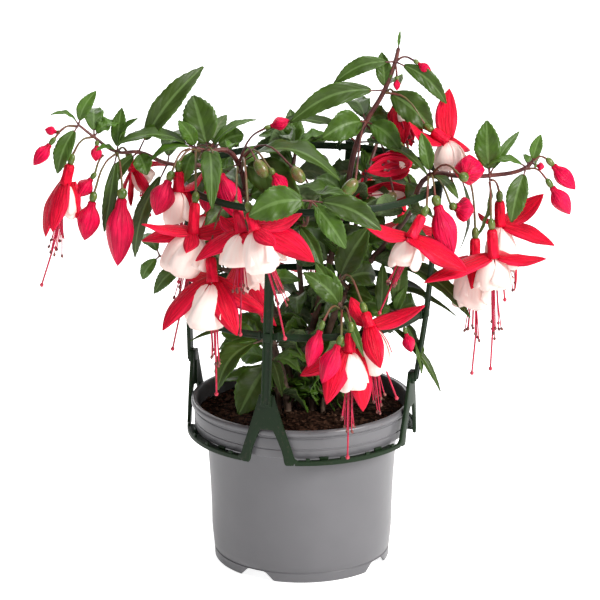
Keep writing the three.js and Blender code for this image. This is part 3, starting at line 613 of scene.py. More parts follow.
def copy_of(template, places):
    """A template's mesh with its points put at new places, as a piece of its own."""
    mesh = template.data.copy()
    mesh.vertices.foreach_set("co", np.ascontiguousarray(places).ravel())
    piece = bpy.data.objects.new(template.name + "_copy", mesh)
    bpy.context.scene.collection.objects.link(piece)
    return piece


def tint(piece, value):
    """Writes the piece's own place in its kind's range of shades."""
    layer = piece.data.attributes.new("shade", "FLOAT", "POINT")
    layer.data.foreach_set("value", np.full(len(piece.data.vertices), value, np.float32))
    return piece


def unit(v):
    return v / max(1e-9, float(np.linalg.norm(v)))


def frame_of(reach, face):
    """Directions along a reach, to its side, and out of its face."""
    along = unit(reach)
    out = unit(face - along * float(face @ along))
    return along, np.cross(along, out), out


def any_side(along):
    guess = np.array([0.0, 0.0, 1.0]) if abs(along[2]) < 0.8 else np.array([0.0, 1.0, 0.0])
    side = unit(np.cross(along, guess))
    return side, np.cross(along, side)


def strung(template, start, reach, radius, turn=0.0):
    """A copy of a template of unit radius and unit height along Z, set along a reach."""
    shape = template["shape"]
    along = unit(reach)
    one, two = any_side(along)
    c, s = math.cos(turn), math.sin(turn)
    x = (shape[:, 0] * c - shape[:, 1] * s) * radius
    y = (shape[:, 0] * s + shape[:, 1] * c) * radius
    places = start + np.outer(shape[:, 2], reach) + np.outer(x, one) + np.outer(y, two)
    return copy_of(template["piece"], places * MM)


def outward(azimuth):
    """A level direction; azimuths turn from the front to the right, in degrees."""
    a = math.radians(azimuth)
    return np.array([math.sin(a), -math.cos(a), 0.0])


def support_at(z):
    """Centre offset and radius of the support's stakes at a height."""
    heights, offsets, radii = zip(*SUPPORT_LEVELS)
    return float(np.interp(z, heights, offsets)), float(np.interp(z, heights, radii))


# ---------- finishes ----------


def fill_inputs(tree, node, inputs):
    for key, value in inputs.items():
        if isinstance(value, bpy.types.NodeSocket):
            tree.links.new(value, node.inputs[key])
        else:
            node.inputs[key].default_value = value


def add_node(tree, kind, inputs=None, **settings):
    """A node with its settings and inputs; an input is a value or another node's output."""
    node = tree.nodes.new(kind)
    for name, value in settings.items():
        setattr(node, name, value)
    fill_inputs(tree, node, inputs or {})
    return node


def math_node(tree, operation, *values):
    node = add_node(tree, "ShaderNodeMath", dict(enumerate(values)), operation=operation)
    return node.outputs[0]


def times(tree, one, two):
    return math_node(tree, "MULTIPLY", one, two)


def smooth_step(tree, value, low, high, out_low=0.0, out_high=1.0):
    limits = {0: value, 1: low, 2: high, 3: out_low, 4: out_high}
    node = add_node(tree, "ShaderNodeMapRange", limits, interpolation_type="SMOOTHSTEP")
    return node.outputs[0]


def mix_colour(tree, factor, one, two):
    # Inputs 0, 6 and 7 are the factor and the two colours, output 2 the colour.
    node = tree.nodes.new("ShaderNodeMix")
    node.data_type = "RGBA"
    fill_inputs(tree, node, {0: factor, 6: one, 7: two})
    return node.outputs[2]


def new_group(name, inputs, outputs):
    """An empty shader node group with number inputs (name, default) and outputs."""
    tree = bpy.data.node_groups.new(name, "ShaderNodeTree")
    for label, value in inputs:
        socket = tree.interface.new_socket(label, in_out="INPUT", socket_type="NodeSocketFloat")
        socket.default_value = value
    for label in outputs:
        tree.interface.new_socket(label, in_out="OUTPUT", socket_type="NodeSocketFloat")
    return tree, tree.nodes.new("NodeGroupInput"), tree.nodes.new("NodeGroupOutput")


def object_place(tree):
    return add_node(tree, "ShaderNodeTexCoord").outputs["Object"]


def noise_at(tree, place, scale, detail):
    """Noise at a place, from 0 to 1."""
    inputs = {"Vector": place, "Scale": scale, "Detail": detail}
    return add_node(tree, "ShaderNodeTexNoise", inputs).outputs["Fac"]


def blade_map(tree):
    """A blade's own map: the places across and along it, and how far off its midrib."""
    place = add_node(tree, "ShaderNodeUVMap", uv_map="UVMap").outputs[0]
    split = add_node(tree, "ShaderNodeSeparateXYZ", {0: place})
    off = math_node(tree, "ABSOLUTE", math_node(tree, "SUBTRACT", split.outputs[0], 0.5))
    return split.outputs[0], split.outputs[1], times(tree, off, 2.0)


def mottle_group():
    """Soft blotches and fine grain that lie still in the object's own space."""
    tree, given, out = new_group(
        "Mottle", [("Blotches", 60.0), ("Grain", 900.0)], ["Blotch", "Grain"]
    )
    place = object_place(tree)
    fill_inputs(tree, out, {
        "Blotch": noise_at(tree, place, given.outputs["Blotches"], 3.0),
        "Grain": noise_at(tree, place, given.outputs["Grain"], 2.0),
    })


def leaf_vein_group():
    """A midrib and curved side veins on a blade's own map, and the quilting between them."""
    tree, given, out = new_group(
        "Leaf Veins", [("Pairs", 6.5), ("Sweep", 2.3)], ["Vein", "Midrib", "Quilt", "Edge"]
    )
    _, along, off = blade_map(tree)
    bow = times(tree, math_node(tree, "POWER", off, 1.4), given.outputs["Sweep"])
    run = times(tree, along, given.outputs["Pairs"])
    wave = math_node(tree, "PINGPONG", math_node(tree, "SUBTRACT", run, bow), 0.5)
    vein = smooth_step(tree, wave, 0.0, 0.09, 1.0, 0.0)
    fade = smooth_step(tree, off, 0.75, 1.0, 1.0, 0.15)
    fill_inputs(tree, out, {
        "Vein": times(tree, vein, fade),
        "Midrib": smooth_step(tree, off, 0.05, 0.16, 1.0, 0.0),
        "Quilt": smooth_step(tree, wave, 0.0, 0.45),
        "Edge": smooth_step(tree, off, 0.86, 1.0),
    })


def petal_streak_group():
    """Fine lengthwise veins on a petal's own map."""
    tree, given, out = new_group(
        "Petal Streaks", [("Lines", 26.0), ("Length", 2.0)], ["Streak", "Along", "Across"]
    )
    across, along, off = blade_map(tree)
    x = times(tree, across, given.outputs["Lines"])
    y = times(tree, along, given.outputs["Length"])
    place = add_node(tree, "ShaderNodeCombineXYZ", {0: x, 1: y}).outputs[0]
    streak = smooth_step(tree, noise_at(tree, place, 1.0, 3.0), 0.38, 0.66)
    fill_inputs(tree, out, {"Streak": streak, "Along": along, "Across": off})


def group_node(tree, name, **values):
    """The outputs of a shared effect with its inputs set."""
    node = tree.nodes.new("ShaderNodeGroup")
    node.node_tree = bpy.data.node_groups[name]
    fill_inputs(tree, node, values)
    return node.outputs


def shade_value(tree):
    """The piece's own place in its kind's range of shades, from 0 to 1."""
    return add_node(tree, "ShaderNodeAttribute", attribute_name="shade").outputs["Fac"]


def new_material(name, **sockets):
    """A material with constants on its shader; an underscore stands for a space."""
    material = bpy.data.materials.new(name)
    material.use_nodes = True
    shader = material.node_tree.nodes["Principled BSDF"]
    for label, value in sockets.items():
        shader.inputs[label.replace("_", " ")].default_value = value
    return material, material.node_tree, shader


def bump(tree, height, strength, distance):
    inputs = {"Height": height, "Strength": strength, "Distance": distance}
    return add_node(tree, "ShaderNodeBump", inputs).outputs[0]


def dress(tree, shader, ground, gloss, relief):
    """Links a finish's colour, roughness and relief to its shader."""
    fill_inputs(tree, shader, {"Base Color": ground, "Roughness": gloss, "Normal": relief})


def satin(tree, grain, roughness):
    """Roughness that varies a little with the grain."""
    return smooth_step(tree, grain, 0.3, 0.7, roughness - 0.06, roughness + 0.08)


def colour(rgb, factor=1.0):
    """An opaque colour, made darker or lighter by the factor."""
    return (rgb[0] * factor, rgb[1] * factor, rgb[2] * factor, 1.0)


def leaf_material(name, dark, light, vein, roughness, relief):
    """Leaf tissue: dark mature to light young by the leaf's shade, paler veins, soft quilting."""
    _, tree, shader = new_material(name, Roughness=roughness, Specular_IOR_Level=0.34)
    veins = group_node(tree, "Leaf Veins")
    spots = group_node(tree, "Mottle", Blotches=110.0, Grain=1500.0)
    ground = mix_colour(tree, shade_value(tree), dark, light)
    blotch = smooth_step(tree, spots["Blotch"], 0.3, 0.7, 0.0, 0.45)
    ground = mix_colour(tree, blotch, ground, colour(dark, 0.55))
    lines = (("Vein", 0.07, vein), ("Midrib", 0.38, vein), ("Edge", 0.3, light))
    for label, amount, over in lines:
        ground = mix_colour(tree, times(tree, veins[label], amount), ground, over)
    raised = math_node(tree, "SUBTRACT", veins["Quilt"], veins["Midrib"])
    height = math_node(tree, "ADD", raised, times(tree, spots["Grain"], 0.25))
    gloss = satin(tree, spots["Grain"], roughness)
    dress(tree, shader, ground, gloss, bump(tree, height, 0.45, relief))


def petal_material(name, base, edge, streak, foot, roughness, lines, relief, streaked=0.6):
    """Petal tissue: a soft ground with lengthwise streaks, paler edges and a stained foot."""
    _, tree, shader = new_material(name, Roughness=roughness, Specular_IOR_Level=0.14)
    veins = group_node(tree, "Petal Streaks", Lines=lines)
    spots = group_node(tree, "Mottle", Blotches=90.0, Grain=1300.0)
    ground = mix_colour(tree, smooth_step(tree, veins["Across"], 0.55, 1.0), base, edge)
    ground = mix_colour(tree, times(tree, shade_value(tree), 0.5), ground, edge)
    ground = mix_colour(tree, times(tree, veins["Streak"], streaked), ground, streak)
    near = smooth_step(tree, veins["Along"], 0.0, 0.4, 0.85, 0.0)
    near = times(tree, near, math_node(tree, "ADD", veins["Streak"], 0.35))
    ground = mix_colour(tree, near, ground, foot)
    blotch = smooth_step(tree, spots["Blotch"], 0.35, 0.7, 0.0, 0.2)
    ground = mix_colour(tree, blotch, ground, streak)
    height = math_node(tree, "ADD", veins["Streak"], times(tree, spots["Grain"], 0.3))
    gloss = satin(tree, spots["Grain"], roughness)
    dress(tree, shader, ground, gloss, bump(tree, height, 0.5, relief))
    return shader


def tissue_material(name, base, other, roughness, blotches, relief=0.0001):
    """Plain plant tissue such as stems, stalks, ovaries and anthers."""
    _, tree, shader = new_material(name, Roughness=roughness, Specular_IOR_Level=0.5)
    spots = group_node(tree, "Mottle", Blotches=blotches, Grain=1800.0)
    ground = mix_colour(tree, smooth_step(tree, spots["Blotch"], 0.35, 0.65), base, other)
    gloss = smooth_step(tree, spots["Grain"], 0.3, 0.7, roughness - 0.08, roughness + 0.1)
    dress(tree, shader, ground, gloss, bump(tree, spots["Grain"], 0.6, relief))


def stem_material():
    """Bark that turns from grey brown at the foot to smooth purple-red near the tips."""
    _, tree, shader = new_material("stem", Roughness=0.5, Specular_IOR_Level=0.5)
    spots = group_node(tree, "Mottle", Blotches=130.0, Grain=1500.0)
    factor = smooth_step(tree, spots["Blotch"], 0.35, 0.65)
    old = mix_colour(tree, factor, (0.10, 0.06, 0.04, 1), (0.20, 0.14, 0.10, 1))
    young = mix_colour(tree, factor, (0.07, 0.014, 0.016, 1), (0.17, 0.045, 0.035, 1))
    ground = mix_colour(tree, shade_value(tree), old, young)
    gloss = smooth_step(tree, shade_value(tree), 0.0, 1.0, 0.75, 0.42)
    dress(tree, shader, ground, gloss, bump(tree, spots["Grain"], 0.7, 0.0004))


def plastic_material(name, base, worn, dust, roughness, dust_heights, relief, gloss_level=0.5):
    """Moulded plastic with a faint grain, soft handling marks and compost dust between heights."""
    _, tree, shader = new_material(name, Roughness=roughness, Specular_IOR_Level=gloss_level)
    spots = group_node(tree, "Mottle", Blotches=22.0, Grain=2200.0)
    marks = group_node(tree, "Mottle", Blotches=150.0, Grain=420.0)
    handled = smooth_step(tree, spots["Blotch"], 0.4, 0.75, 0.0, 0.6)
    ground = mix_colour(tree, handled, base, worn)
    height = add_node(tree, "ShaderNodeSeparateXYZ", {0: object_place(tree)}).outputs[2]
    band = smooth_step(tree, height, *dust_heights)
    speck = smooth_step(tree, marks["Grain"], 0.58, 0.7)
    ground = mix_colour(tree, times(tree, times(tree, band, speck), 0.35), ground, dust)
    gloss = smooth_step(tree, marks["Blotch"], 0.3, 0.7, roughness, roughness + 0.03)
    dress(tree, shader, ground, gloss, bump(tree, spots["Grain"], 0.25, relief))


def compost_material():
    """Moist peat: near-black crumbs with lighter fibres and bark flecks."""
    _, tree, shader = new_material("moist_peat", Specular_IOR_Level=0.02)
    place = object_place(tree)
    crumbs = add_node(tree, "ShaderNodeTexVoronoi", {"Vector": place, "Scale": 420.0})
    fine = noise_at(tree, place, 900.0, 4.0)
    wet_peat, dry_peat = (0.011, 0.006, 0.004, 1), (0.026, 0.012, 0.008, 1)
    # hollow is the near-black of painted shade, standing for the shaded hollows between crumbs.
    bark, hollow = (0.085, 0.042, 0.026, 1), (0.006, 0.003, 0.002, 1)
    loose_crumb, plant_fibre = (0.095, 0.050, 0.032, 1), (0.038, 0.020, 0.013, 1)
    damp = smooth_step(tree, noise_at(tree, place, 55.0, 3.0), 0.35, 0.65)
    ground = mix_colour(tree, damp, wet_peat, dry_peat)
    own = add_node(tree, "ShaderNodeSeparateXYZ", {0: crumbs.outputs["Color"]}).outputs[0]
    ground = mix_colour(tree, smooth_step(tree, own, 0.55, 0.95, 0.0, 0.7), ground, bark)
    # Painted shade: random cells are darkened to near-black as if they were shaded hollows between
    # the crumbs.
    ground = mix_colour(tree, smooth_step(tree, own, 0.5, 0.1, 0.0, 0.8), ground, hollow)
    ground = mix_colour(tree, shade_value(tree), ground, loose_crumb)
    fibre = smooth_step(tree, fine, 0.62, 0.75, 0.0, 0.5)
    ground = mix_colour(tree, fibre, ground, plant_fibre)
    height = math_node(tree, "ADD", crumbs.outputs["Distance"], fine)
    dress(tree, shader, ground, 0.95, bump(tree, height, 0.9, 0.0010))


def make_finishes(sizes):
    """Builds every shared effect and finish once, by the colours the user has chosen."""
    if bpy.data.node_groups.get("Mottle"):
        return
    mottle_group()
    leaf_vein_group()
    petal_streak_group()
    leaf, sepal, corolla = sizes.leaf_colour, sizes.sepal_colour, sizes.corolla_colour
    leaf_material(
        "leaf_upper", colour(leaf), (0.11, 0.26, 0.022, 1), (0.20, 0.32, 0.10, 1),
        0.44, 0.0002,
    )
    leaf_material(
        "leaf_under", (0.10, 0.15, 0.06, 1), (0.16, 0.26, 0.08, 1), (0.26, 0.28, 0.15, 1),
        0.62, 0.0006,
    )
    petal_material(
        "sepal_outside", colour(sepal), (0.94, 0.016, 0.075, 1), colour(sepal, 0.36),
        (0.50, 0.003, 0.015, 1), 0.40, 11.0, 0.0012,
    )
    petal_material(
        "sepal_inside", colour(sepal, 0.80), (0.80, 0.008, 0.05, 1), colour(sepal, 0.34),
        (0.70, 0.05, 0.07, 1), 0.52, 12.0, 0.0012,
    )
    glow = petal_material(
        "corolla_petal", colour(corolla), (0.96, 0.83, 0.78, 1), (0.90, 0.56, 0.50, 1),
        (0.84, 0.16, 0.20, 1), 0.6, 7.0, 0.0001, streaked=0.25,
    )
    # Painted light: the corolla glows faintly in its own colour, standing in for light shining
    # through the thin petals.
    glow.inputs["Emission Color"].default_value = colour(corolla)
    glow.inputs["Emission Strength"].default_value = 0.12
    petal_material(
        "bud_sepal", colour(sizes.bud_colour), (0.94, 0.014, 0.09, 1),
        colour(sizes.bud_colour, 0.22), (0.36, 0.002, 0.015, 1), 0.36, 30.0, 0.0012, streaked=0.5,
    )
    stem_material()
    tissue_material("stalk", (0.17, 0.035, 0.025, 1), (0.13, 0.12, 0.04, 1), 0.4, 60.0)
    tissue_material("ovary", (0.06, 0.12, 0.015, 1), (0.13, 0.17, 0.03, 1), 0.3, 220.0)
    tissue_material("filament", (0.44, 0.002, 0.030, 1), (0.54, 0.005, 0.060, 1), 0.55, 300.0)
    tissue_material("anther", (0.09, 0.010, 0.016, 1), (0.30, 0.10, 0.08, 1), 0.7, 500.0, 0.0002)
    tissue_material("stigma", (0.46, 0.010, 0.04, 1), (0.60, 0.05, 0.09, 1), 0.55, 600.0, 0.0002)
    tissue_material("fruit", (0.10, 0.17, 0.03, 1), (0.20, 0.13, 0.05, 1), 0.3, 240.0)
    tissue_material("bare_root", (0.42, 0.33, 0.22, 1), (0.25, 0.18, 0.11, 1), 0.7, 300.0)
    plastic_material(
        "pot_plastic", colour(sizes.pot_colour), colour(sizes.pot_colour, 1.18),
        (0.10, 0.07, 0.05, 1), 0.31, (0.104, 0.113), 0.00001,
    )
    plastic_material(
        "support_plastic", colour(sizes.support_colour), colour(sizes.support_colour, 1.6),
        (0.05, 0.04, 0.03, 1), 0.42, (0.080, 0.100), 0.00005, gloss_level=0.2,
    )
    compost_material()


def finish(name):
    return bpy.data.materials[name]


# ---------- forms that repeat ----------


def as_form(piece):
    """Keeps a piece as a form to copy, with its points in its own units."""
    return {"piece": piece, "shape": get_points(piece).copy()}


def put_away(*forms):
    for form in forms:
        bpy.data.objects.remove(form["piece"], do_unlink=True)


def blade_form(name, columns, rows, outline, tooth=0.0):
    """A flat blade along Y from 0 to 1, one unit of half width, that follows an outline."""
    piece = start_piece(
        bpy.ops.mesh.primitive_grid_add, name,
        x_subdivisions=columns, y_subdivisions=rows, size=2, calc_uvs=True,
    )
    piece.data.uv_layers[0].name = "UVMap"
    flat = get_points(piece)
    row_of = np.rint((flat[:, 1] + 1) / 2 * rows).astype(int)
    margin = np.abs(flat[:, 0]) > 0.99
    for row in range(rows + 1):
        width = outline(row / rows)
        select_points(piece, row_of == row)
        bpy.ops.transform.resize(value=(width, 0.5, 1), center_override=(0, 1, 0))
        leave_edit()
    if tooth:
        select_points(piece, margin & (row_of % 2 == 1))
        bpy.ops.transform.resize(value=(1 - tooth, 1, 1), center_override=(0, 0, 0))
        bpy.ops.transform.translate(value=(0, -0.3 / rows, 0))
        leave_edit()
    shade(piece)
    return as_form(piece)


def leaf_outline(t):
    return 0.03 + ((t + 0.015) ** 0.8 * (1.015 - t) ** 0.9) / 0.31


def sepal_outline(t):
    return 0.02 + max(0.0, math.sin(math.pi * (0.18 + 0.82 * t) ** 1.05)) ** 0.85


def leaf_form():
    return blade_form("leaf_form", 6, 22, leaf_outline, tooth=0.055)


def sepal_form():
    return blade_form("sepal_form", 6, 16, sepal_outline)


def petal_form():
    """A plain square blade: the petal's own shape comes when it is wrapped into a corolla."""
    return blade_form("petal_form", 8, 8, lambda t: 1.0)


def round_form(name, profile, around, lobes=0, depth=0.0):
    """A closed turned form of unit size, with its own map round it and along it."""
    piece = turned(name, [(r / MM, z / MM) for r, z in profile], around)
    shape = get_points(piece).copy()
    if lobes:
        angle = np.arctan2(shape[:, 1], shape[:, 0])
        hollow = np.abs(np.sin(lobes / 2 * angle)) ** 0.8
        swell = 1 - depth * hollow * np.clip((shape[:, 2] - 0.16) * 4, 0, 1)
        shape[:, :2] *= swell[:, None]
        set_points(piece, shape)
    for old in list(piece.data.uv_layers):
        piece.data.uv_layers.remove(old)
    layer = piece.data.uv_layers.new(name="UVMap")
    for face in piece.data.polygons:
        middle = math.atan2(face.center[1], face.center[0])
        for corner in face.loop_indices:
            x, y, z = piece.data.vertices[piece.data.loops[corner].vertex_index].co
            turn = math.atan2(y, x)
            turn += 2 * math.pi * round((middle - turn) / (2 * math.pi))
            layer.data[corner].uv = (turn / (2 * math.pi) + 0.5, z)
    shade(piece)
    return as_form(piece)


def ovary_form():
    profile = [(0, 0), (0.45, 0.02), (0.85, 0.2), (1, 0.45), (0.93, 0.7), (0.72, 0.92), (0, 1)]
    return round_form("ovary_form", profile, 14)


def tube_form():
    profile = [
        (0, 0), (0.62, 0.02), (0.78, 0.12), (0.82, 0.35), (0.8, 0.6), (0.88, 0.82), (1, 0.98),
        (0, 1),
    ]
    return round_form("tube_form", profile, 16)


def bud_form():
    """The closed calyx: a tube that swells into four joined sepals with a pointed tip."""
    profile = [
        (0, 0), (0.28, 0.01), (0.36, 0.04), (0.36, 0.1), (0.42, 0.15), (0.64, 0.22), (0.88, 0.31),
        (1.02, 0.40), (1.06, 0.47), (1.0, 0.57), (0.84, 0.69), (0.6, 0.81), (0.33, 0.91),
        (0.12, 0.97), (0, 1),
    ]
    return round_form("bud_form", profile, 32, lobes=4, depth=0.17)


def fruit_form():
    profile = [
        (0, 0), (0.4, 0.02), (0.78, 0.16), (1, 0.42), (0.98, 0.66), (0.74, 0.88), (0.42, 0.97),
        (0.34, 1.0), (0, 0.97),
    ]
    return round_form("fruit_form", profile, 16)


def bead_form(name, segments, rings):
    """A round bead of unit radius along Z from 0 to 1."""
    piece = start_piece(
        bpy.ops.mesh.primitive_uv_sphere_add, name,
        segments=segments, ring_count=rings, radius=1,
    )
    piece.data.uv_layers[0].name = "UVMap"
    shape = get_points(piece)
    shape[:, 2] = (shape[:, 2] + 1) / 2
    set_points(piece, shape)
    shade(piece)
    return as_form(piece)


# ---------- plant parts ----------

# The share of a leaf's reach that is its stalk.
PETIOLE = 0.13
# Millimetres.
LEAF_THICKNESS = 0.4
SEPAL_THICKNESS = 0.7
PETAL_THICKNESS = 0.35
WIDEST_SEPAL = 17.5
OVARY_LENGTH = 8
OVARY_RADIUS = 2.5
TUBE_RADIUS = 4.5
# The tube starts this far down, inside the ovary's end, and is this much shorter than its
# row's reach, so that it ends just past the mouth.
TUBE_START = 7.2
TUBE_CUT = 6.6
# The corolla's rings of petals: how many, and their share of its radius and of its length.
PETAL_RINGS = ((5, 1.0, 1.0), (4, 0.82, 0.99))
STAMEN_COUNT = 8
# A leaf this long is full grown.
MATURE_LENGTH = 46
# Leaves that fill the plant's inside: how many at each point of a shoot's path, how long,
# how much up or down and how wide they are, the heights of those points, and how far to the
# side, to the front and up the leaves may reach.
INNER_LEAVES = 6
INNER_LENGTHS = (20, 34)
INNER_RISES = (-16, 14)
INNER_WIDTHS = (12, 17)
INNER_HEIGHTS = (112, 285)
INNER_SIDE = 84
INNER_FRONT = -34
INNER_TOP = 282


def lay_blade(form, start, reach, face, width, foot=0.0, arch=0.1, fold=0.0, cup=0.0,
              sway=0.0, twist=0.0, wave=0.0, phase=0.0, turns=2.5):
    """A copy of a blade laid along a reach and shaped: arched, folded on its midrib, cupped,
    swayed to its side, twisted and waved along its margins."""
    length = float(np.linalg.norm(reach))
    along, side, out = frame_of(reach, face)
    x, t = form["shape"][:, 0], form["shape"][:, 1]
    run = foot + (1 - foot) * t
    across = x * width / 2
    rise = np.abs(across) * math.sin(fold) - cup * width * x * x
    across = across * math.cos(fold)
    swing = 2 * math.pi * (turns * t + phase)
    rise = rise + wave * width * x * x * np.sin(swing) * np.sin(math.pi * t)
    rise = rise + 0.35 * wave * width * x * np.cos(swing)
    angle = twist * t
    across, rise = (
        across * np.cos(angle) - rise * np.sin(angle),
        across * np.sin(angle) + rise * np.cos(angle),
    )
    across = across + sway * length * np.sin(math.pi * run)
    rise = rise + 4 * arch * length * run * (1 - run)
    places = start + np.outer(run * length, along) + np.outer(across, side) + np.outer(rise, out)
    return copy_of(form["piece"], places * MM)


def leaf(form, start, reach, width, face, rng, age):
    """A leaf blade and the path of its stalk. Age runs from 0, young, to 1, mature.
    Its own weight bows the midrib: it leaves the stem steeply and bends over to its tip."""
    reach, face = np.array(reach, float), np.array(face, float)
    along, side, out = frame_of(reach, face)
    arch = rng.uniform(0.08, 0.15) + 0.07 * float(out[2] > 0.7)
    lift = 0.1 * float(side[2])
    blade = lay_blade(
        form, start, reach, face, width, foot=PETIOLE, arch=arch,
        fold=math.radians(rng.uniform(8, 26)), sway=lift + rng.uniform(-0.03, 0.03),
        twist=math.radians(rng.uniform(-16, 16)), wave=rng.uniform(0.05, 0.11),
        phase=rng.random(), turns=rng.uniform(2.2, 3.2),
    )
    tint(blade, 1 - age)
    length = float(np.linalg.norm(reach))
    stalk = []
    for run, thick in ((0.0, 0.75), (PETIOLE * 0.5, 0.6), (PETIOLE + 0.02, 0.5)):
        place = start + along * run * length + out * 4 * arch * length * run * (1 - run)
        place = place + side * lift * length * math.sin(math.pi * run)
        stalk.append((place, thick))
    return blade, stalk


def hanging_stalk(start, top, reach, thick):
    """The path of a flower's or bud's stalk: it rises a little, then hangs."""
    start, top, reach = (np.array(v, float) for v in (start, top, reach))
    middle = (start + top) / 2
    middle[2] += 0.22 * float(np.linalg.norm(top - start))
    return [(start, thick * 1.15), (middle, thick * 0.85), (top + unit(reach) * 1.2, thick * 1.1)]


def thicken(piece, thickness):
    apply_modifier(
        piece, "SOLIDIFY", thickness=thickness * MM, offset=-1, material_offset=1,
        use_rim=True, use_even_offset=False,
    )


def petal(form, mouth, axis, reach, radius, mid, half, rng):
    """One petal of the corolla, wrapped round the axis and flared to the rim."""
    one, two = any_side(axis)
    u, t = form["shape"][:, 0], form["shape"][:, 1]
    turn = mid + u * half * (0.5 + 0.5 * t)
    bow = math.radians(rng.uniform(84, 112)) * t
    spread = 1.8 + (radius - 1.8) * np.sin(bow) + 0.9 * u * t
    spread = spread + rng.uniform(-0.04, 0.16) * radius * np.clip(t - 0.75, 0, 1) * 4
    ruffle = t * t * np.sin(u * rng.uniform(1.6, 2.8) + rng.uniform(0, 6.3))
    spread = spread + ruffle * radius * 0.07
    run = reach * (0.25 * t + 0.75 * (1 - np.cos(bow)) / 1.31)
    run = run * (1 - 0.16 * u**4 * t) + 0.035 * reach * ruffle
    places = (
        mouth + np.outer(run, axis)
        + np.outer(spread * np.cos(turn), one) + np.outer(spread * np.sin(turn), two)
    )
    return copy_of(form["piece"], places * MM)


def calyx(form, mouth, tube, axis, sepals, tone, rng):
    """The four sepals, spread from the mouth of the tube."""
    blades = []
    for tip in sepals:
        tip = np.array(tip, float)
        level = unit(tip - axis * float(tip @ axis))
        foot = mouth - unit(tube) * 1.2 + level * 3.0
        reach = mouth + tip - foot
        hang = float(unit(reach) @ axis)
        width = min(WIDEST_SEPAL, 5 + 0.3 * float(np.linalg.norm(reach)))
        width *= rng.uniform(0.94, 1.06)
        lean = np.array([mouth[0] * 0.003, math.copysign(rng.uniform(0.15, 0.75), mouth[1]), 0])
        blades.append(lay_blade(
            form, foot, reach, unit(tip) - axis + lean, width,
            arch=0.13 * hang - 0.03, cup=0.10 + 0.06 * hang, sway=rng.uniform(-0.05, 0.05),
            twist=math.radians(rng.uniform(-24, 24)), wave=rng.uniform(0.02, 0.05),
            phase=rng.random(), turns=1.4,
        ))
        tint(blades[-1], rng.random() * 0.7 + 0.3 * tone)
    whole = join(blades, "calyx")
    give(whole, finish("sepal_outside"), finish("sepal_inside"))
    thicken(whole, SEPAL_THICKNESS)
    return whole


def corolla(form, mouth, drop, radius, rng):
    """The bell of overlapping petals."""
    petals = []
    length = float(np.linalg.norm(drop))
    turn = rng.uniform(0, 6.3)
    for ring, (count, share, run) in enumerate(PETAL_RINGS):
        for k in range(count):
            mid = turn + 0.5 * ring + 2 * math.pi * k / count
            half = 2 * math.pi / count * rng.uniform(0.66, 0.82)
            reach = length * run * rng.uniform(0.86, 1.05)
            wide = radius * share * rng.uniform(0.94, 1.04)
            petals.append(petal(form, mouth, unit(drop), reach, wide, mid, half, rng))
            tint(petals[-1], rng.random())
    whole = join(petals, "corolla")
    give(whole, finish("corolla_petal"), finish("corolla_petal"))
    thicken(whole, PETAL_THICKNESS)
    return whole


def stamens_and_style(bead, mouth, stamens, style, rng):
    """The stamens with their anthers, and the longer style with its stigma."""
    parts, strands = [], []
    one, two = any_side(unit(stamens))
    for k in range(STAMEN_COUNT):
        around = 2 * math.pi * (k + rng.uniform(-0.3, 0.3)) / STAMEN_COUNT
        aside = one * math.cos(around) + two * math.sin(around)
        share = rng.uniform(0.78, 1.03)
        end = mouth + stamens * share + aside * rng.uniform(1.5, 6.0)
        half_way = mouth + stamens * share * 0.5 + aside * rng.uniform(1.5, 3.0)
        strands.append([(mouth + aside * 1.2, 0.5), (half_way, 0.46), (end, 0.36)])
        way = unit(end - half_way) + aside * rng.uniform(-0.4, 0.8)
        anther = strung(bead, end - unit(way) * 0.6, unit(way) * 2.7, 0.95)
        parts.append(give(anther, finish("anther")))
    bow = any_side(unit(style))[0] * rng.uniform(-2, 2)
    end = mouth + style
    strands.append([(mouth, 0.7), (mouth + style * 0.55 + bow, 0.65), (end, 0.6)])
    parts.append(rods("filaments", strands, finish("filament")))
    stigma = strung(bead, end - unit(style) * 1.2, unit(style) * 3.0, 1.35)
    parts.append(give(stigma, finish("stigma")))
    return parts


def flower_piece(name, row, forms):
    start, top, tube, sepals, drop, radius, stamens, style = row
    rng = random.Random(name)
    top, tube, drop, stamens, style = (
        np.array(v, float) for v in (top, tube, drop, stamens, style)
    )
    mouth = top + tube
    tone = rng.random()
    parts = [
        calyx(forms["sepal"], mouth, tube, unit(drop), sepals, tone, rng),
        corolla(forms["petal"], mouth, drop, radius, rng),
    ]
    down = unit(tube)
    ovary = strung(forms["ovary"], top, down * OVARY_LENGTH, OVARY_RADIUS, rng.random())
    parts.append(give(ovary, finish("ovary")))
    neck = strung(
        forms["tube"], top + down * TUBE_START, tube - down * TUBE_CUT, TUBE_RADIUS, rng.random()
    )
    parts.append(give(neck, finish("sepal_outside")))
    parts += stamens_and_style(forms["bead"], mouth, stamens, style, rng)
    parts.append(rods("flower_stalk", [hanging_stalk(start, top, tube, 0.8)], finish("stalk")))
    for part in parts:
        if "shade" not in part.data.attributes:
            tint(part, tone)
    return join(parts, name)


def bud_parts(row, forms, rng):
    """A bud's stalk path and its ovary and calyx."""
    start, top, reach, radius = row
    top, reach = np.array(top, float), np.array(reach, float)
    green = unit(reach) * min(6.5, 0.24 * float(np.linalg.norm(reach)))
    ovary = strung(forms["ovary"], top, green * 1.08, max(1.6, 0.34 * radius), rng.random())
    calyx = strung(forms["bud"], top + green, reach - green, radius, rng.uniform(0, 6.3))
    tint(give(ovary, finish("ovary")), rng.random())
    tint(give(calyx, finish("bud_sepal")), rng.random())
    return hanging_stalk(start, top, reach, 0.75), [ovary, calyx]


def bud_piece(name, row, forms):
    rng = random.Random(name)
    path, parts = bud_parts(row, forms, rng)
    parts.append(tint(rods("bud_stalk", [path], finish("stalk")), rng.random()))
    return join(parts, name)


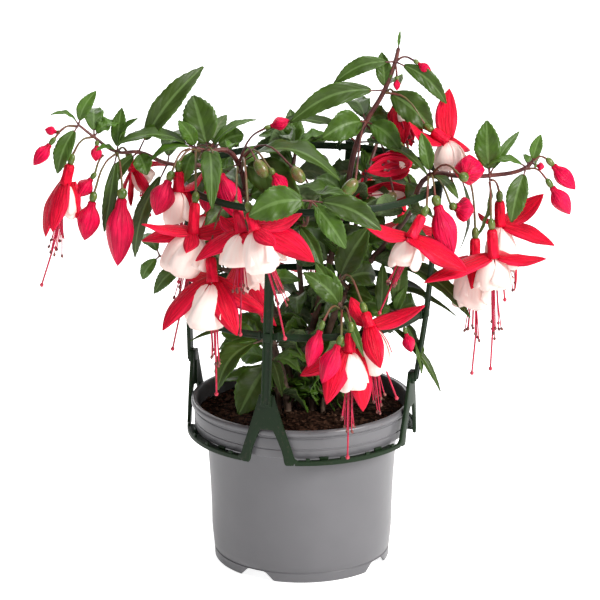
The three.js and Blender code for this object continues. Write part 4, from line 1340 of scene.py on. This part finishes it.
def inner_leaves(path, rng):
    """Rows for the leaves that fill the plant's inside, where shoots are hidden by foliage."""
    rows = []
    lowest, highest = INNER_HEIGHTS
    for index, (x, y, z) in enumerate(path[1:], 1):
        if z < lowest or z > highest or abs(x) > INNER_SIDE:
            continue
        for _ in range(INNER_LEAVES):
            azimuth = rng.uniform(0, 360)
            reach = outward(azimuth) * rng.uniform(*INNER_LENGTHS)
            reach[2] = rng.uniform(*INNER_RISES)
            tip = np.array([x, y, z]) + reach
            high = tip[2] > INNER_TOP - 0.1 * abs(tip[0] - 30)
            if abs(tip[0]) > INNER_SIDE or tip[1] < INNER_FRONT or high:
                continue
            face = [reach[0] * 0.2, -0.4 if reach[1] < 10 else 0.3, 1]
            rows.append([index, *reach, rng.uniform(*INNER_WIDTHS), face])
    return rows


def shoot_foliage(row, path, form, rng):
    """All the leaves of a shoot as one piece, and the paths of their stalks."""
    blades, stalks = [], []
    for index, dx, dy, dz, width, face in row["leaves"] + inner_leaves(path, rng):
        big = min(1.0, math.sqrt(dx * dx + dy * dy + dz * dz) / MATURE_LENGTH)
        tip_most = index / (len(path) - 1)
        mature = 0.3 + 0.8 * big - 0.12 * tip_most + rng.uniform(-0.2, 0.15)
        mature = min(1.0, max(0.0, mature))
        blade, stalk = leaf(form, path[index], (dx, dy, dz), width, face, rng, mature)
        blades.append(blade)
        stalks.append(stalk)
    foliage = join(blades, "foliage")
    give(foliage, finish("leaf_upper"), finish("leaf_under"))
    thicken(foliage, LEAF_THICKNESS)
    return foliage, stalks


def shoot_piece(name, row, forms):
    rng = random.Random(name)
    path = [np.array(place, float) for place in row["path"]]
    last = len(path) - 1
    foliage, paths = shoot_foliage(row, path, forms["leaf"], rng)
    parts = [foliage]

    thick = row["radius"]
    stem = [(place, thick * (1.3 - 0.65 * k / last)) for k, place in enumerate(path)]
    for index, place in enumerate(path[1:-1], 1):
        share = index / last
        step = unit(path[index + 1] - path[index - 1]) * 1.5
        paths.append([
            (place - step, thick * (1.2 - 0.65 * share)), (place, thick * (1.5 - 0.7 * share)),
            (place + step, thick * (1.15 - 0.65 * share)),
        ])
    for start, top, reach, radius in row.get("fruits", []):
        paths.append(hanging_stalk(start, top, reach, 0.7))
        body = strung(forms["fruit"], np.array(top, float), np.array(reach, float), radius)
        parts.append(tint(give(body, finish("fruit")), rng.random()))
    for bud in row.get("buds", []):
        stalk, bodies = bud_parts(bud, forms, rng)
        paths.append(stalk)
        parts.extend(bodies)
    canes = rods("canes", [stem] + paths, finish("stem"), steps=5)
    height = get_points(canes)[:, 2]
    parts.append(tint(canes, np.clip((height - 0.12) / 0.16, 0, 1)))
    return join(parts, name)


# ---------- pot and compost ----------

# Edges of moulded plastic that turn by more than this many degrees look sharp.
CREASE = 40
# The drainage gaps through the foot: azimuths in degrees, then millimetres.
NOTCH_AZIMUTHS = (-31, 59, 149, 239)
NOTCH_RADIUS = 54
NOTCH_DEPTH = 20
NOTCH_TOP = 6.2
NOTCH_WIDTHS = {"top": 13.5, "bottom": 28.5}
COMPOST_RADIUS = 70.2
COMPOST_TOP = 102.4
COMPOST_DOME = 0.9
COMPOST_RINGS = 22
# The uneven top: heights in millimetres and how closely the lumps lie.
COMPOST_LUMPS = ((1.3, 55), (0.9, 190))
# How far out the loose crumbs lie.
CRUMB_REACH = 69


def wall_radius(z):
    """The pot's wall: a straight taper, slightly full low down and slightly hollow above."""
    taper = 60.0 + (z - 7) * 5 / 86
    swell = 0.45 * math.exp(-(((z - 22) / 9) ** 2))
    return taper + swell - 0.4 * math.exp(-(((z - 58) / 20) ** 2))


def pot_piece():
    """One moulding: raised floor, foot ring, tapered wall, skirt and turned-out lip."""
    profile = [(0, 6.8), (30, 6.8), (57.2, 6.7), (57.9, 6.0), (58.0, 0.6), (58.3, 0.1)]
    profile += [(59.0, 0.0), (59.5, 0.5), (59.8, 6.2), (59.35, 6.7), (59.4, 7.2), (60.0, 7.8)]
    profile += [(wall_radius(z), z) for z in (12, 17, 22, 28, 36, 46, 58, 70, 80, 88)]
    profile += [(64.9, 91.5), (65.3, 92.6), (66.2, 93.0), (71.6, 93.0), (72.5, 93.4)]
    profile += [(72.75, 94.4), (72.85, 98.5), (72.4, 98.9), (72.4, 99.5), (72.9, 99.9)]
    profile += [(73.1, 106.4), (72.6, 106.8), (72.6, 107.6), (73.2, 108.2), (74.2, 108.7)]
    profile += [(74.8, 109.3), (75.0, 110.2), (75.0, 111.4), (74.6, 112.4), (73.8, 112.9)]
    profile += [(72.6, 113.0), (71.6, 112.7), (71.1, 111.9), (71.05, 109), (71.0, 96.2)]
    profile += [(70.4, 94.9), (69.2, 94.6), (64.2, 94.5), (63.5, 94.0), (63.3, 92.6)]
    profile += [(58.6, 11.4), (58.0, 9.6), (56.8, 9.0), (0, 9.0)]
    pot = turned("nursery_pot", profile, 144)
    for azimuth in NOTCH_AZIMUTHS:
        cut_notch(pot, azimuth)
    soften(pot, 0.35, degrees=50)
    shade(pot, CREASE)
    return give(pot, finish("pot_plastic"))


def cut_notch(pot, azimuth):
    """A drainage gap through the foot, wider at the floor."""
    cutter = new_cube("notch")
    places = get_points(cutter) * [1, NOTCH_DEPTH * MM, 1]
    high = places[:, 2] > 0
    places[:, 2] = np.where(high, NOTCH_TOP, -1.0) * MM
    places[:, 0] *= np.where(high, NOTCH_WIDTHS["top"], NOTCH_WIDTHS["bottom"]) * MM
    places[:, 1] -= NOTCH_RADIUS * MM
    set_points(cutter, about_z(places, azimuth))
    soften(cutter, 1.6, segments=3)
    cut_away(pot, cutter)


def compost_piece(crumb_count):
    """The domed body of compost with its uneven top, loose crumbs and one bare root."""
    rng = random.Random("compost")
    rings = [COMPOST_RADIUS * (k / COMPOST_RINGS) for k in range(COMPOST_RINGS, 0, -1)]
    profile = [(0, 9.4), (57.4, 9.6), (62.6, 92.0), (63.2, 95.0), (COMPOST_RADIUS, 95.2)]
    profile += [(r, COMPOST_TOP - COMPOST_DOME * (r / COMPOST_RADIUS) ** 2) for r in rings]
    profile += [(0, COMPOST_TOP)]
    soil = turned("compost_body", profile, 110)
    places = get_points(soil)
    top = places[:, 2] > (COMPOST_TOP - COMPOST_DOME - 1) * MM
    for index in np.nonzero(top)[0]:
        place = Vector(places[index])
        rough = sum(height * noise.noise(place * close) for height, close in COMPOST_LUMPS)
        places[index, 2] += rough * MM
    set_points(soil, places)
    shade(soil)
    tint(give(soil, finish("moist_peat")), 0.0)

    crumb = as_form(
        start_piece(bpy.ops.mesh.primitive_ico_sphere_add, "crumb", subdivisions=1, radius=1)
    )
    parts = [soil]
    for _ in range(crumb_count):
        middle = outward(rng.uniform(0, 360)) * (CRUMB_REACH * math.sqrt(rng.random()))
        middle[2] = COMPOST_TOP + 0.2 + rng.uniform(-0.2, 1.0)
        size = rng.uniform(0.5, 1.2) + 1.3 * rng.random() ** 4
        shape = crumb["shape"] * [size, size * rng.uniform(0.5, 1.0), size * rng.uniform(0.4, 0.8)]
        shape = shape * (1 + 0.25 * np.array([rng.uniform(-1, 1) for _ in shape])[:, None])
        turn = rng.uniform(0, 6.3)
        c, s = math.cos(turn), math.sin(turn)
        shape = shape @ np.array([[c, s, 0], [-s, c, 0], [0, 0, 1]])
        lump = copy_of(crumb["piece"], (shape + middle) * MM)
        parts.append(tint(give(lump, finish("moist_peat")), 0.15 + 0.85 * rng.random() ** 1.3))
    put_away(crumb)
    root = [
        ((46, -40, 101), 0.5), ((54, -34, 106.5), 0.8), ((60, -22, 105), 0.7),
        ((61, -12, 101), 0.4),
    ]
    parts.append(rods("root", [root], finish("bare_root")))
    return join(parts, "compost_surface")


# ---------- plant support ----------

CLIP_RADIUS = 77.9
CLIP_BOTTOM = 89.8
CLIP_TOP = 93.2
# The bands hook inwards to this radius, under the pot's skirt.
HOOK_RADIUS = 69.5
BAND_THICKNESS = 1.8
FORK_THICKNESS = 2.2
# The forks are open between their legs up to here.
CROTCH_HEIGHT = 113.5
# Degrees to the sides of a stake.
HOOK_SHIFTS = (-29, 29)
TOOTH_SHIFTS = (-38, -20.5, 20.5, 38)
LUG_SHIFTS = (-4.5, 4.5)
# How far above and below a ring a stake's two clips hold it.
CLIP_RISE = 3.5
# The rings lie just inside the stakes.
RING_GAP = 1.6
RING_THICKNESS = 1.8
RING_HALF_HEIGHT = 2.3
FORK_ROWS = [
    # height, half width outside, half width inside
    (89.9, 16.6, 13.4), (90.7, 17.8, 12.5), (92.0, 20.6, 12.0), (93.3, 21.2, 11.8),
    (94.4, 19.2, 11.6), (96.4, 18.3, 11.3), (100.5, 17.2, 10.2),
    (106, 15.2, 8.0), (112, 13.2, 5.4), (114, 12.4, 4.3), (116, 11.8, 4.0), (123, 9.6, 4.0),
    (130, 7.4, 3.6), (135, 5.8, 2.9), (138, 5.2, 2.6),
]


def fork_plate(azimuth):
    """The forked plate that carries a stake: two legs that meet in a flat web."""
    count = len(FORK_ROWS) - 1
    plate = start_piece(
        bpy.ops.mesh.primitive_grid_add, "plate",
        x_subdivisions=6, y_subdivisions=count, size=2,
    )
    places = get_points(plate)
    row = np.rint((places[:, 1] + 1) / 2 * count).astype(int)
    line = np.rint((places[:, 0] + 1) * 3).astype(int)
    height, out, inner = (np.array(column, float)[row] for column in zip(*FORK_ROWS))
    choices = [-out, -(out + inner) / 2, -inner, 0 * out, inner, (out + inner) / 2, out]
    across = np.choose(line, choices)
    places = np.stack([across, height * 0, height], axis=1)
    set_points(plate, places)
    mesh = plate.data
    gap = [
        face.center[2] < CROTCH_HEIGHT and any(mesh.vertices[k].co[0] == 0 for k in face.vertices)
        for face in mesh.polygons
    ]
    only(plate)
    bpy.ops.object.mode_set(mode="EDIT")
    bpy.ops.mesh.select_all(action="DESELECT")
    leave_edit()
    mesh.polygons.foreach_set("select", gap)
    bpy.context.tool_settings.mesh_select_mode = (False, False, True)
    bpy.ops.object.mode_set(mode="EDIT")
    bpy.ops.mesh.delete(type="FACE")
    leave_edit()
    places = get_points(plate)
    bend = np.radians(azimuth) + places[:, 0] / CLIP_RADIUS
    radius = CLIP_RADIUS + 0.2
    around = np.stack([np.sin(bend) * radius, -np.cos(bend) * radius, places[:, 2]], axis=1)
    set_points(plate, around * MM)
    apply_modifier(plate, "SOLIDIFY", thickness=FORK_THICKNESS * MM, offset=-1)
    recalculate(plate)
    soften(plate, 0.45, degrees=50)
    shade(plate, CREASE)
    return plate


def boss(name, azimuth, radius, z, size, offset=0.0, edge=0.4):
    """A small moulded block of (width, depth, height) set at an azimuth, radius and height."""
    piece = new_cube(name)
    places = get_points(piece) * size
    out = outward(azimuth)
    side = np.array([-out[1], out[0], 0.0])
    middle = out * radius + [offset, 0, z]
    places = middle + places @ np.array([side, out, [0, 0, 1]])
    set_points(piece, places * MM)
    recalculate(piece)
    soften(piece, edge)
    shade(piece, CREASE)
    return piece


def moulded(parts, name):
    """Joins the parts of one plastic moulding of the support."""
    for part in parts:
        give(part, finish("support_plastic"))
    return join(parts, name)


def support_base_piece():
    """Four forks joined by curved bands with hooks and teeth, open at each fork."""
    outer, inner, hook = CLIP_RADIUS, CLIP_RADIUS - BAND_THICKNESS, HOOK_RADIUS
    low, high = CLIP_BOTTOM, CLIP_TOP
    profile = [
        (hook, low + 0.3), (hook + 0.3, low), (outer - 0.5, low), (outer, low + 0.5),
        (outer, high - 0.5), (outer - 0.5, high),
        (inner + 0.3, high), (inner, high - 0.3), (inner, low + 2.0), (inner - 0.5, low + 1.6),
        (hook + 0.3, low + 1.6), (hook, low + 1.3),
    ]
    ring = turned("support_ring", profile, 144)
    # What is cut out at each fork: (width, depth, height), and how far inwards its middle lies.
    between_legs = ([26.0, 20, 20], 4)
    behind_legs = ([38.0, 14, 20], FORK_THICKNESS + 7)
    for azimuth in STAKES.values():
        for size, inwards in (between_legs, behind_legs):
            cutter = new_cube("gap")
            places = get_points(cutter) * size + [0, -CLIP_RADIUS + inwards, low]
            set_points(cutter, about_z(places, azimuth) * MM)
            cut_away(ring, cutter)
    shade(ring, CREASE)
    parts = [ring]
    for azimuth in STAKES.values():
        parts.append(fork_plate(azimuth))
        parts.append(boss("socket", azimuth, CLIP_RADIUS - 0.2, 134.5, (7.6, 4.4, 8.0)))
        parts.append(boss("rib", azimuth, CLIP_RADIUS - 1.8, 122.5, (2.0, 2.2, 17.0)))
        for shift in HOOK_SHIFTS:
            parts.append(boss("hook", azimuth + shift, CLIP_RADIUS - 4.4, 92.6, (6.0, 1.6, 4.0)))
        for shift in TOOTH_SHIFTS:
            parts.append(boss("tooth", azimuth + shift, CLIP_RADIUS - 1.2, 93.6, (3.0, 1.5, 2.4)))
    return moulded(parts, "support_clip_base")


def swept(name, section, stations):
    """A closed section carried up through stations; each gives the section's points there."""
    piece = start_piece(
        bpy.ops.mesh.primitive_circle_add, name,
        vertices=len(section), radius=1, fill_type="NGON",
    )
    set_points(piece, stations[0] * MM)
    for below, above in zip(stations, stations[1:]):
        select_points(piece, ends_of(piece, slice(-len(section), None)))
        bpy.ops.mesh.extrude_region_move(
            TRANSFORM_OT_translate={"value": tuple((above - below).mean(axis=0) * MM)}
        )
        leave_edit()
        places = get_points(piece)
        places[-len(section):] = above * MM
        set_points(piece, places)
    recalculate(piece)
    return piece


def stake_piece(side):
    """A flat strip with rounded edges and a groove down its outer face, clipped to both rings."""
    azimuth = STAKES[side]
    out = outward(azimuth)
    across = np.array([-out[1], out[0], 0.0])
    section = np.array([
        (-3.1, -0.9), (-2.8, -1.3), (2.8, -1.3), (3.1, -0.9), (3.1, 0.9), (2.8, 1.3), (2.0, 1.3),
        (1.5, 0.55), (-1.5, 0.55), (-2.0, 1.3), (-2.8, 1.3), (-3.1, 0.9),
    ])
    stations = []
    heights = [(z, 1) for z in (132, 145, 160, 174, 180, 186, 205, 225, 245, 262, 269)]
    rounded_end = [(270.4, 0.9), (271, 0.7)]
    for z, scale in heights + rounded_end:
        offset, radius = support_at(z)
        middle = out * radius + [offset, 0, z]
        stations.append(middle + np.outer(section[:, 0] * scale, across)
                        + np.outer(section[:, 1] * scale, out))
    strip = swept("strip", section, stations)
    soften(strip, 0.2, segments=1, degrees=60)
    shade(strip, CREASE)
    parts = [strip]
    for z in RINGS.values():
        offset, radius = support_at(z)
        for height in (z - CLIP_RISE, z + CLIP_RISE):
            parts.append(boss("clip", azimuth, radius - 2.2, height, (5.2, 3.6, 1.4), offset))
        parts.append(boss("stop", azimuth, radius + 0.9, z, (4.4, 1.6, 6.0), offset))
    return moulded(parts, f"stake_{side}")


def ring_piece(level):
    """A thin ring with a rolled lower edge, just inside the stakes."""
    z = RINGS[level]
    offset, radius = support_at(z)
    outer = radius - RING_GAP
    inner = outer - RING_THICKNESS
    low, high = z - RING_HALF_HEIGHT, z + RING_HALF_HEIGHT
    profile = [
        (inner, low + 0.4), (inner + 0.3, low), (outer - 0.3, low), (outer, low + 0.4),
        (outer, z - 1.3), (outer - 0.35, z - 0.9), (outer - 0.35, high - 0.4),
        (outer - 0.6, high), (inner + 0.3, high), (inner, high - 0.4),
    ]
    ring = turned("hoop", profile, 144)
    places = get_points(ring)
    places[:, 0] += offset * MM
    set_points(ring, places)
    shade(ring, CREASE)
    parts = [ring]
    for azimuth in STAKES.values():
        for shift in LUG_SHIFTS:
            parts.append(boss("lug", azimuth + shift, outer - 0.9, z, (1.8, 2.2, 6.4), offset))
    return moulded(parts, f"{level}_hoop")


# ---------- the stage ----------

# The points that the lights and the camera are aimed at, in metres.
LIT_POINT = (0, 0, 0.2)
SEEN_POINT = (-0.00119, 0, 0.1808)
LENS = 213.84
SENSOR_WIDTH = 36
# Each soft light's name, place, size, power and colour.
LIGHTS = [
    ("key", (1.6, -1.2, 1.35), (0.9, 0.9), 64, (1.0, 0.99, 0.97)),
    ("fill", (-1.3, -1.7, 0.7), (1.2, 1.2), 4, (0.98, 0.98, 1.0)),
    ("top", (0.1, 0.3, 1.9), (1.4, 1.4), 20, (1.0, 1.0, 1.0)),
    ("back", (-0.6, 1.7, 0.9), (1.2, 1.0), 10, (1.0, 1.0, 1.0)),
]


def area_light(name, place, size, power, light_colour):
    bpy.ops.object.light_add(type="AREA", location=place)
    light = bpy.context.object
    light.name = name
    aim = Vector(LIT_POINT) - Vector(place)
    light.rotation_euler = aim.to_track_quat("-Z", "Y").to_euler()
    light.data.shape = "RECTANGLE"
    light.data.size, light.data.size_y = size
    light.data.energy = power
    light.data.color = light_colour


def pale_floor():
    bpy.ops.object.select_all(action="DESELECT")
    bpy.ops.mesh.primitive_plane_add(size=16, location=(0, 0, -0.0004))
    floor = bpy.context.object
    floor.name = "studio_floor"
    pale, tree, shader = new_material(
        "pale_floor", Roughness=0.9, Specular_IOR_Level=0.1, Emission_Color=(1, 1, 1, 1)
    )
    seen = add_node(tree, "ShaderNodeLightPath").outputs["Is Camera Ray"]
    glow = math_node(tree, "MULTIPLY_ADD", seen, 0.45, 0.4)
    spots = noise_at(tree, object_place(tree), 0.2, 2.0)
    base = mix_colour(tree, spots, (0.9, 0.9, 0.9, 1), (0.93, 0.93, 0.93, 1))
    fill_inputs(tree, shader, {"Base Color": base, "Emission Strength": glow})
    return give(floor, pale)


def light_the_air(scene):
    """White air, brighter to the camera than as a light."""
    scene.world = bpy.data.worlds.new("studio_air")
    scene.world.use_nodes = True
    tree = scene.world.node_tree
    sky = tree.nodes["Background"]
    seen = add_node(tree, "ShaderNodeLightPath").outputs["Is Camera Ray"]
    strength = math_node(tree, "MULTIPLY_ADD", seen, 0.88, 0.17)
    fill_inputs(tree, sky, {"Color": (1, 1, 1, 1), "Strength": strength})


def set_camera(scene, rise, far):
    """A long lens at a distance, looking down by the rise, an angle in radians."""
    place = Vector(SEEN_POINT) + Vector((0, -math.cos(rise), math.sin(rise))) * far
    bpy.ops.object.camera_add(location=place, rotation=(math.pi / 2 - rise, 0, 0))
    camera = bpy.context.object
    camera.name = "studio_camera"
    camera.data.lens = LENS
    camera.data.sensor_width = SENSOR_WIDTH
    camera.data.clip_end = 40
    scene.camera = camera
    scene.view_settings.view_transform = "Standard"


# ---------- the add-on ----------


def colour_property(name, description, default):
    return bpy.props.FloatVectorProperty(
        name=name, description=description, subtype="COLOR", size=3, default=default,
        min=0, max=1,
    )


class FuchsiaSizes(bpy.types.PropertyGroup):
    """Colours and amounts that a user would change."""

    leaf_colour: colour_property("Leaf", "Mature leaf colour", (0.037, 0.071, 0.005))
    sepal_colour: colour_property(
        "Sepals", "Colour of the four outer petals", (0.90, 0.003, 0.032)
    )
    corolla_colour: colour_property(
        "Corolla", "Colour of the inner bell of petals", (0.92, 0.735, 0.675)
    )
    bud_colour: colour_property("Buds", "Colour of the closed buds", (0.90, 0.003, 0.070))
    pot_colour: colour_property("Pot", "Colour of the nursery pot", (0.132, 0.130, 0.139))
    support_colour: colour_property(
        "Support", "Colour of the plant support", (0.007, 0.020, 0.006)
    )
    crumb_count: bpy.props.IntProperty(
        name="Crumbs", description="Loose crumbs on the compost", default=420, min=0, max=900,
    )
    camera_distance: bpy.props.FloatProperty(
        name="Camera Distance", description="From the camera to the plant's middle",
        subtype="DISTANCE", unit="LENGTH", default=2.4, min=0.5,
    )
    camera_rise: bpy.props.FloatProperty(
        name="Camera Rise", description="How far the camera looks down", subtype="ANGLE",
        unit="ROTATION", default=math.radians(17.17),
    )


def place_all(rows, word, new_word, build, forms):
    """One piece for each row, named after its node; the forms are put away after it."""
    for node, row in rows.items():
        stands_for(build(node.replace(word, new_word), row, forms), node)
    put_away(*forms.values())


class FUCHSIA_OT_pot(bpy.types.Operator):
    """Builds the grey nursery pot"""

    bl_idname = "fuchsia.pot"
    bl_label = "Pot"

    def execute(self, context):
        make_finishes(context.scene.fuchsia)
        stands_for(pot_piece(), "pot")
        return {"FINISHED"}


class FUCHSIA_OT_compost(bpy.types.Operator):
    """Fills the pot with compost"""

    bl_idname = "fuchsia.compost"
    bl_label = "Compost"

    def execute(self, context):
        make_finishes(context.scene.fuchsia)
        stands_for(compost_piece(context.scene.fuchsia.crumb_count), "soil")
        return {"FINISHED"}


class FUCHSIA_OT_support(bpy.types.Operator):
    """Builds the clip-on support: base, four stakes and two rings"""

    bl_idname = "fuchsia.support"
    bl_label = "Plant Support"

    def execute(self, context):
        make_finishes(context.scene.fuchsia)
        stands_for(support_base_piece(), "support_base")
        for side in STAKES:
            stands_for(stake_piece(side), f"support_stake_{side}")
        for level in RINGS:
            stands_for(ring_piece(level), f"support_ring_{level}")
        return {"FINISHED"}


class FUCHSIA_OT_shoots(bpy.types.Operator):
    """Grows the shoots with their stems, leaves, fruits and smallest buds"""

    bl_idname = "fuchsia.shoots"
    bl_label = "Shoots"

    def execute(self, context):
        make_finishes(context.scene.fuchsia)
        forms = {
            "leaf": leaf_form(), "fruit": fruit_form(), "ovary": ovary_form(), "bud": bud_form(),
        }
        place_all(SHOOTS, "shoot", "growth", shoot_piece, forms)
        return {"FINISHED"}


class FUCHSIA_OT_flowers(bpy.types.Operator):
    """Opens the flowers"""

    bl_idname = "fuchsia.flowers"
    bl_label = "Flowers"

    def execute(self, context):
        make_finishes(context.scene.fuchsia)
        forms = {
            "sepal": sepal_form(), "petal": petal_form(), "ovary": ovary_form(),
            "tube": tube_form(), "bead": bead_form("bead_form", 8, 6),
        }
        place_all(FLOWERS, "flower", "bloom", flower_piece, forms)
        return {"FINISHED"}


class FUCHSIA_OT_buds(bpy.types.Operator):
    """Hangs the closed buds"""

    bl_idname = "fuchsia.buds"
    bl_label = "Buds"

    def execute(self, context):
        make_finishes(context.scene.fuchsia)
        forms = {"ovary": ovary_form(), "bud": bud_form()}
        place_all(BUDS, "bud", "closed", bud_piece, forms)
        return {"FINISHED"}


class FUCHSIA_OT_stage(bpy.types.Operator):
    """Sets the pale floor, the soft studio light and the camera"""

    bl_idname = "fuchsia.stage"
    bl_label = "Stage"

    def execute(self, context):
        sizes = context.scene.fuchsia
        pale_floor()
        light_the_air(context.scene)
        for light in LIGHTS:
            area_light(*light)
        set_camera(context.scene, sizes.camera_rise, sizes.camera_distance)
        return {"FINISHED"}


OPERATORS = (
    FUCHSIA_OT_stage, FUCHSIA_OT_pot, FUCHSIA_OT_compost, FUCHSIA_OT_support, FUCHSIA_OT_shoots,
    FUCHSIA_OT_flowers, FUCHSIA_OT_buds,
)


class FUCHSIA_PT_panel(bpy.types.Panel):
    bl_label = "Potted Fuchsia"
    bl_idname = "FUCHSIA_PT_panel"
    bl_space_type = "VIEW_3D"
    bl_region_type = "UI"
    bl_category = "Fuchsia"

    def draw(self, context):
        sizes = context.scene.fuchsia
        for name in sizes.__annotations__:
            self.layout.prop(sizes, name)
        for operator in OPERATORS:
            self.layout.operator(operator.bl_idname)


def register():
    for kind in (FuchsiaSizes, *OPERATORS, FUCHSIA_PT_panel):
        bpy.utils.register_class(kind)
    bpy.types.Scene.fuchsia = bpy.props.PointerProperty(type=FuchsiaSizes)


def unregister():
    del bpy.types.Scene.fuchsia
    for kind in reversed((FuchsiaSizes, *OPERATORS, FUCHSIA_PT_panel)):
        bpy.utils.unregister_class(kind)


def main():
    register()
    bpy.ops.fuchsia.stage()
    bpy.ops.fuchsia.pot()
    bpy.ops.fuchsia.compost()
    bpy.ops.fuchsia.support()
    bpy.ops.fuchsia.shoots()
    bpy.ops.fuchsia.flowers()
    bpy.ops.fuchsia.buds()


if __name__ == "__main__":
    main()
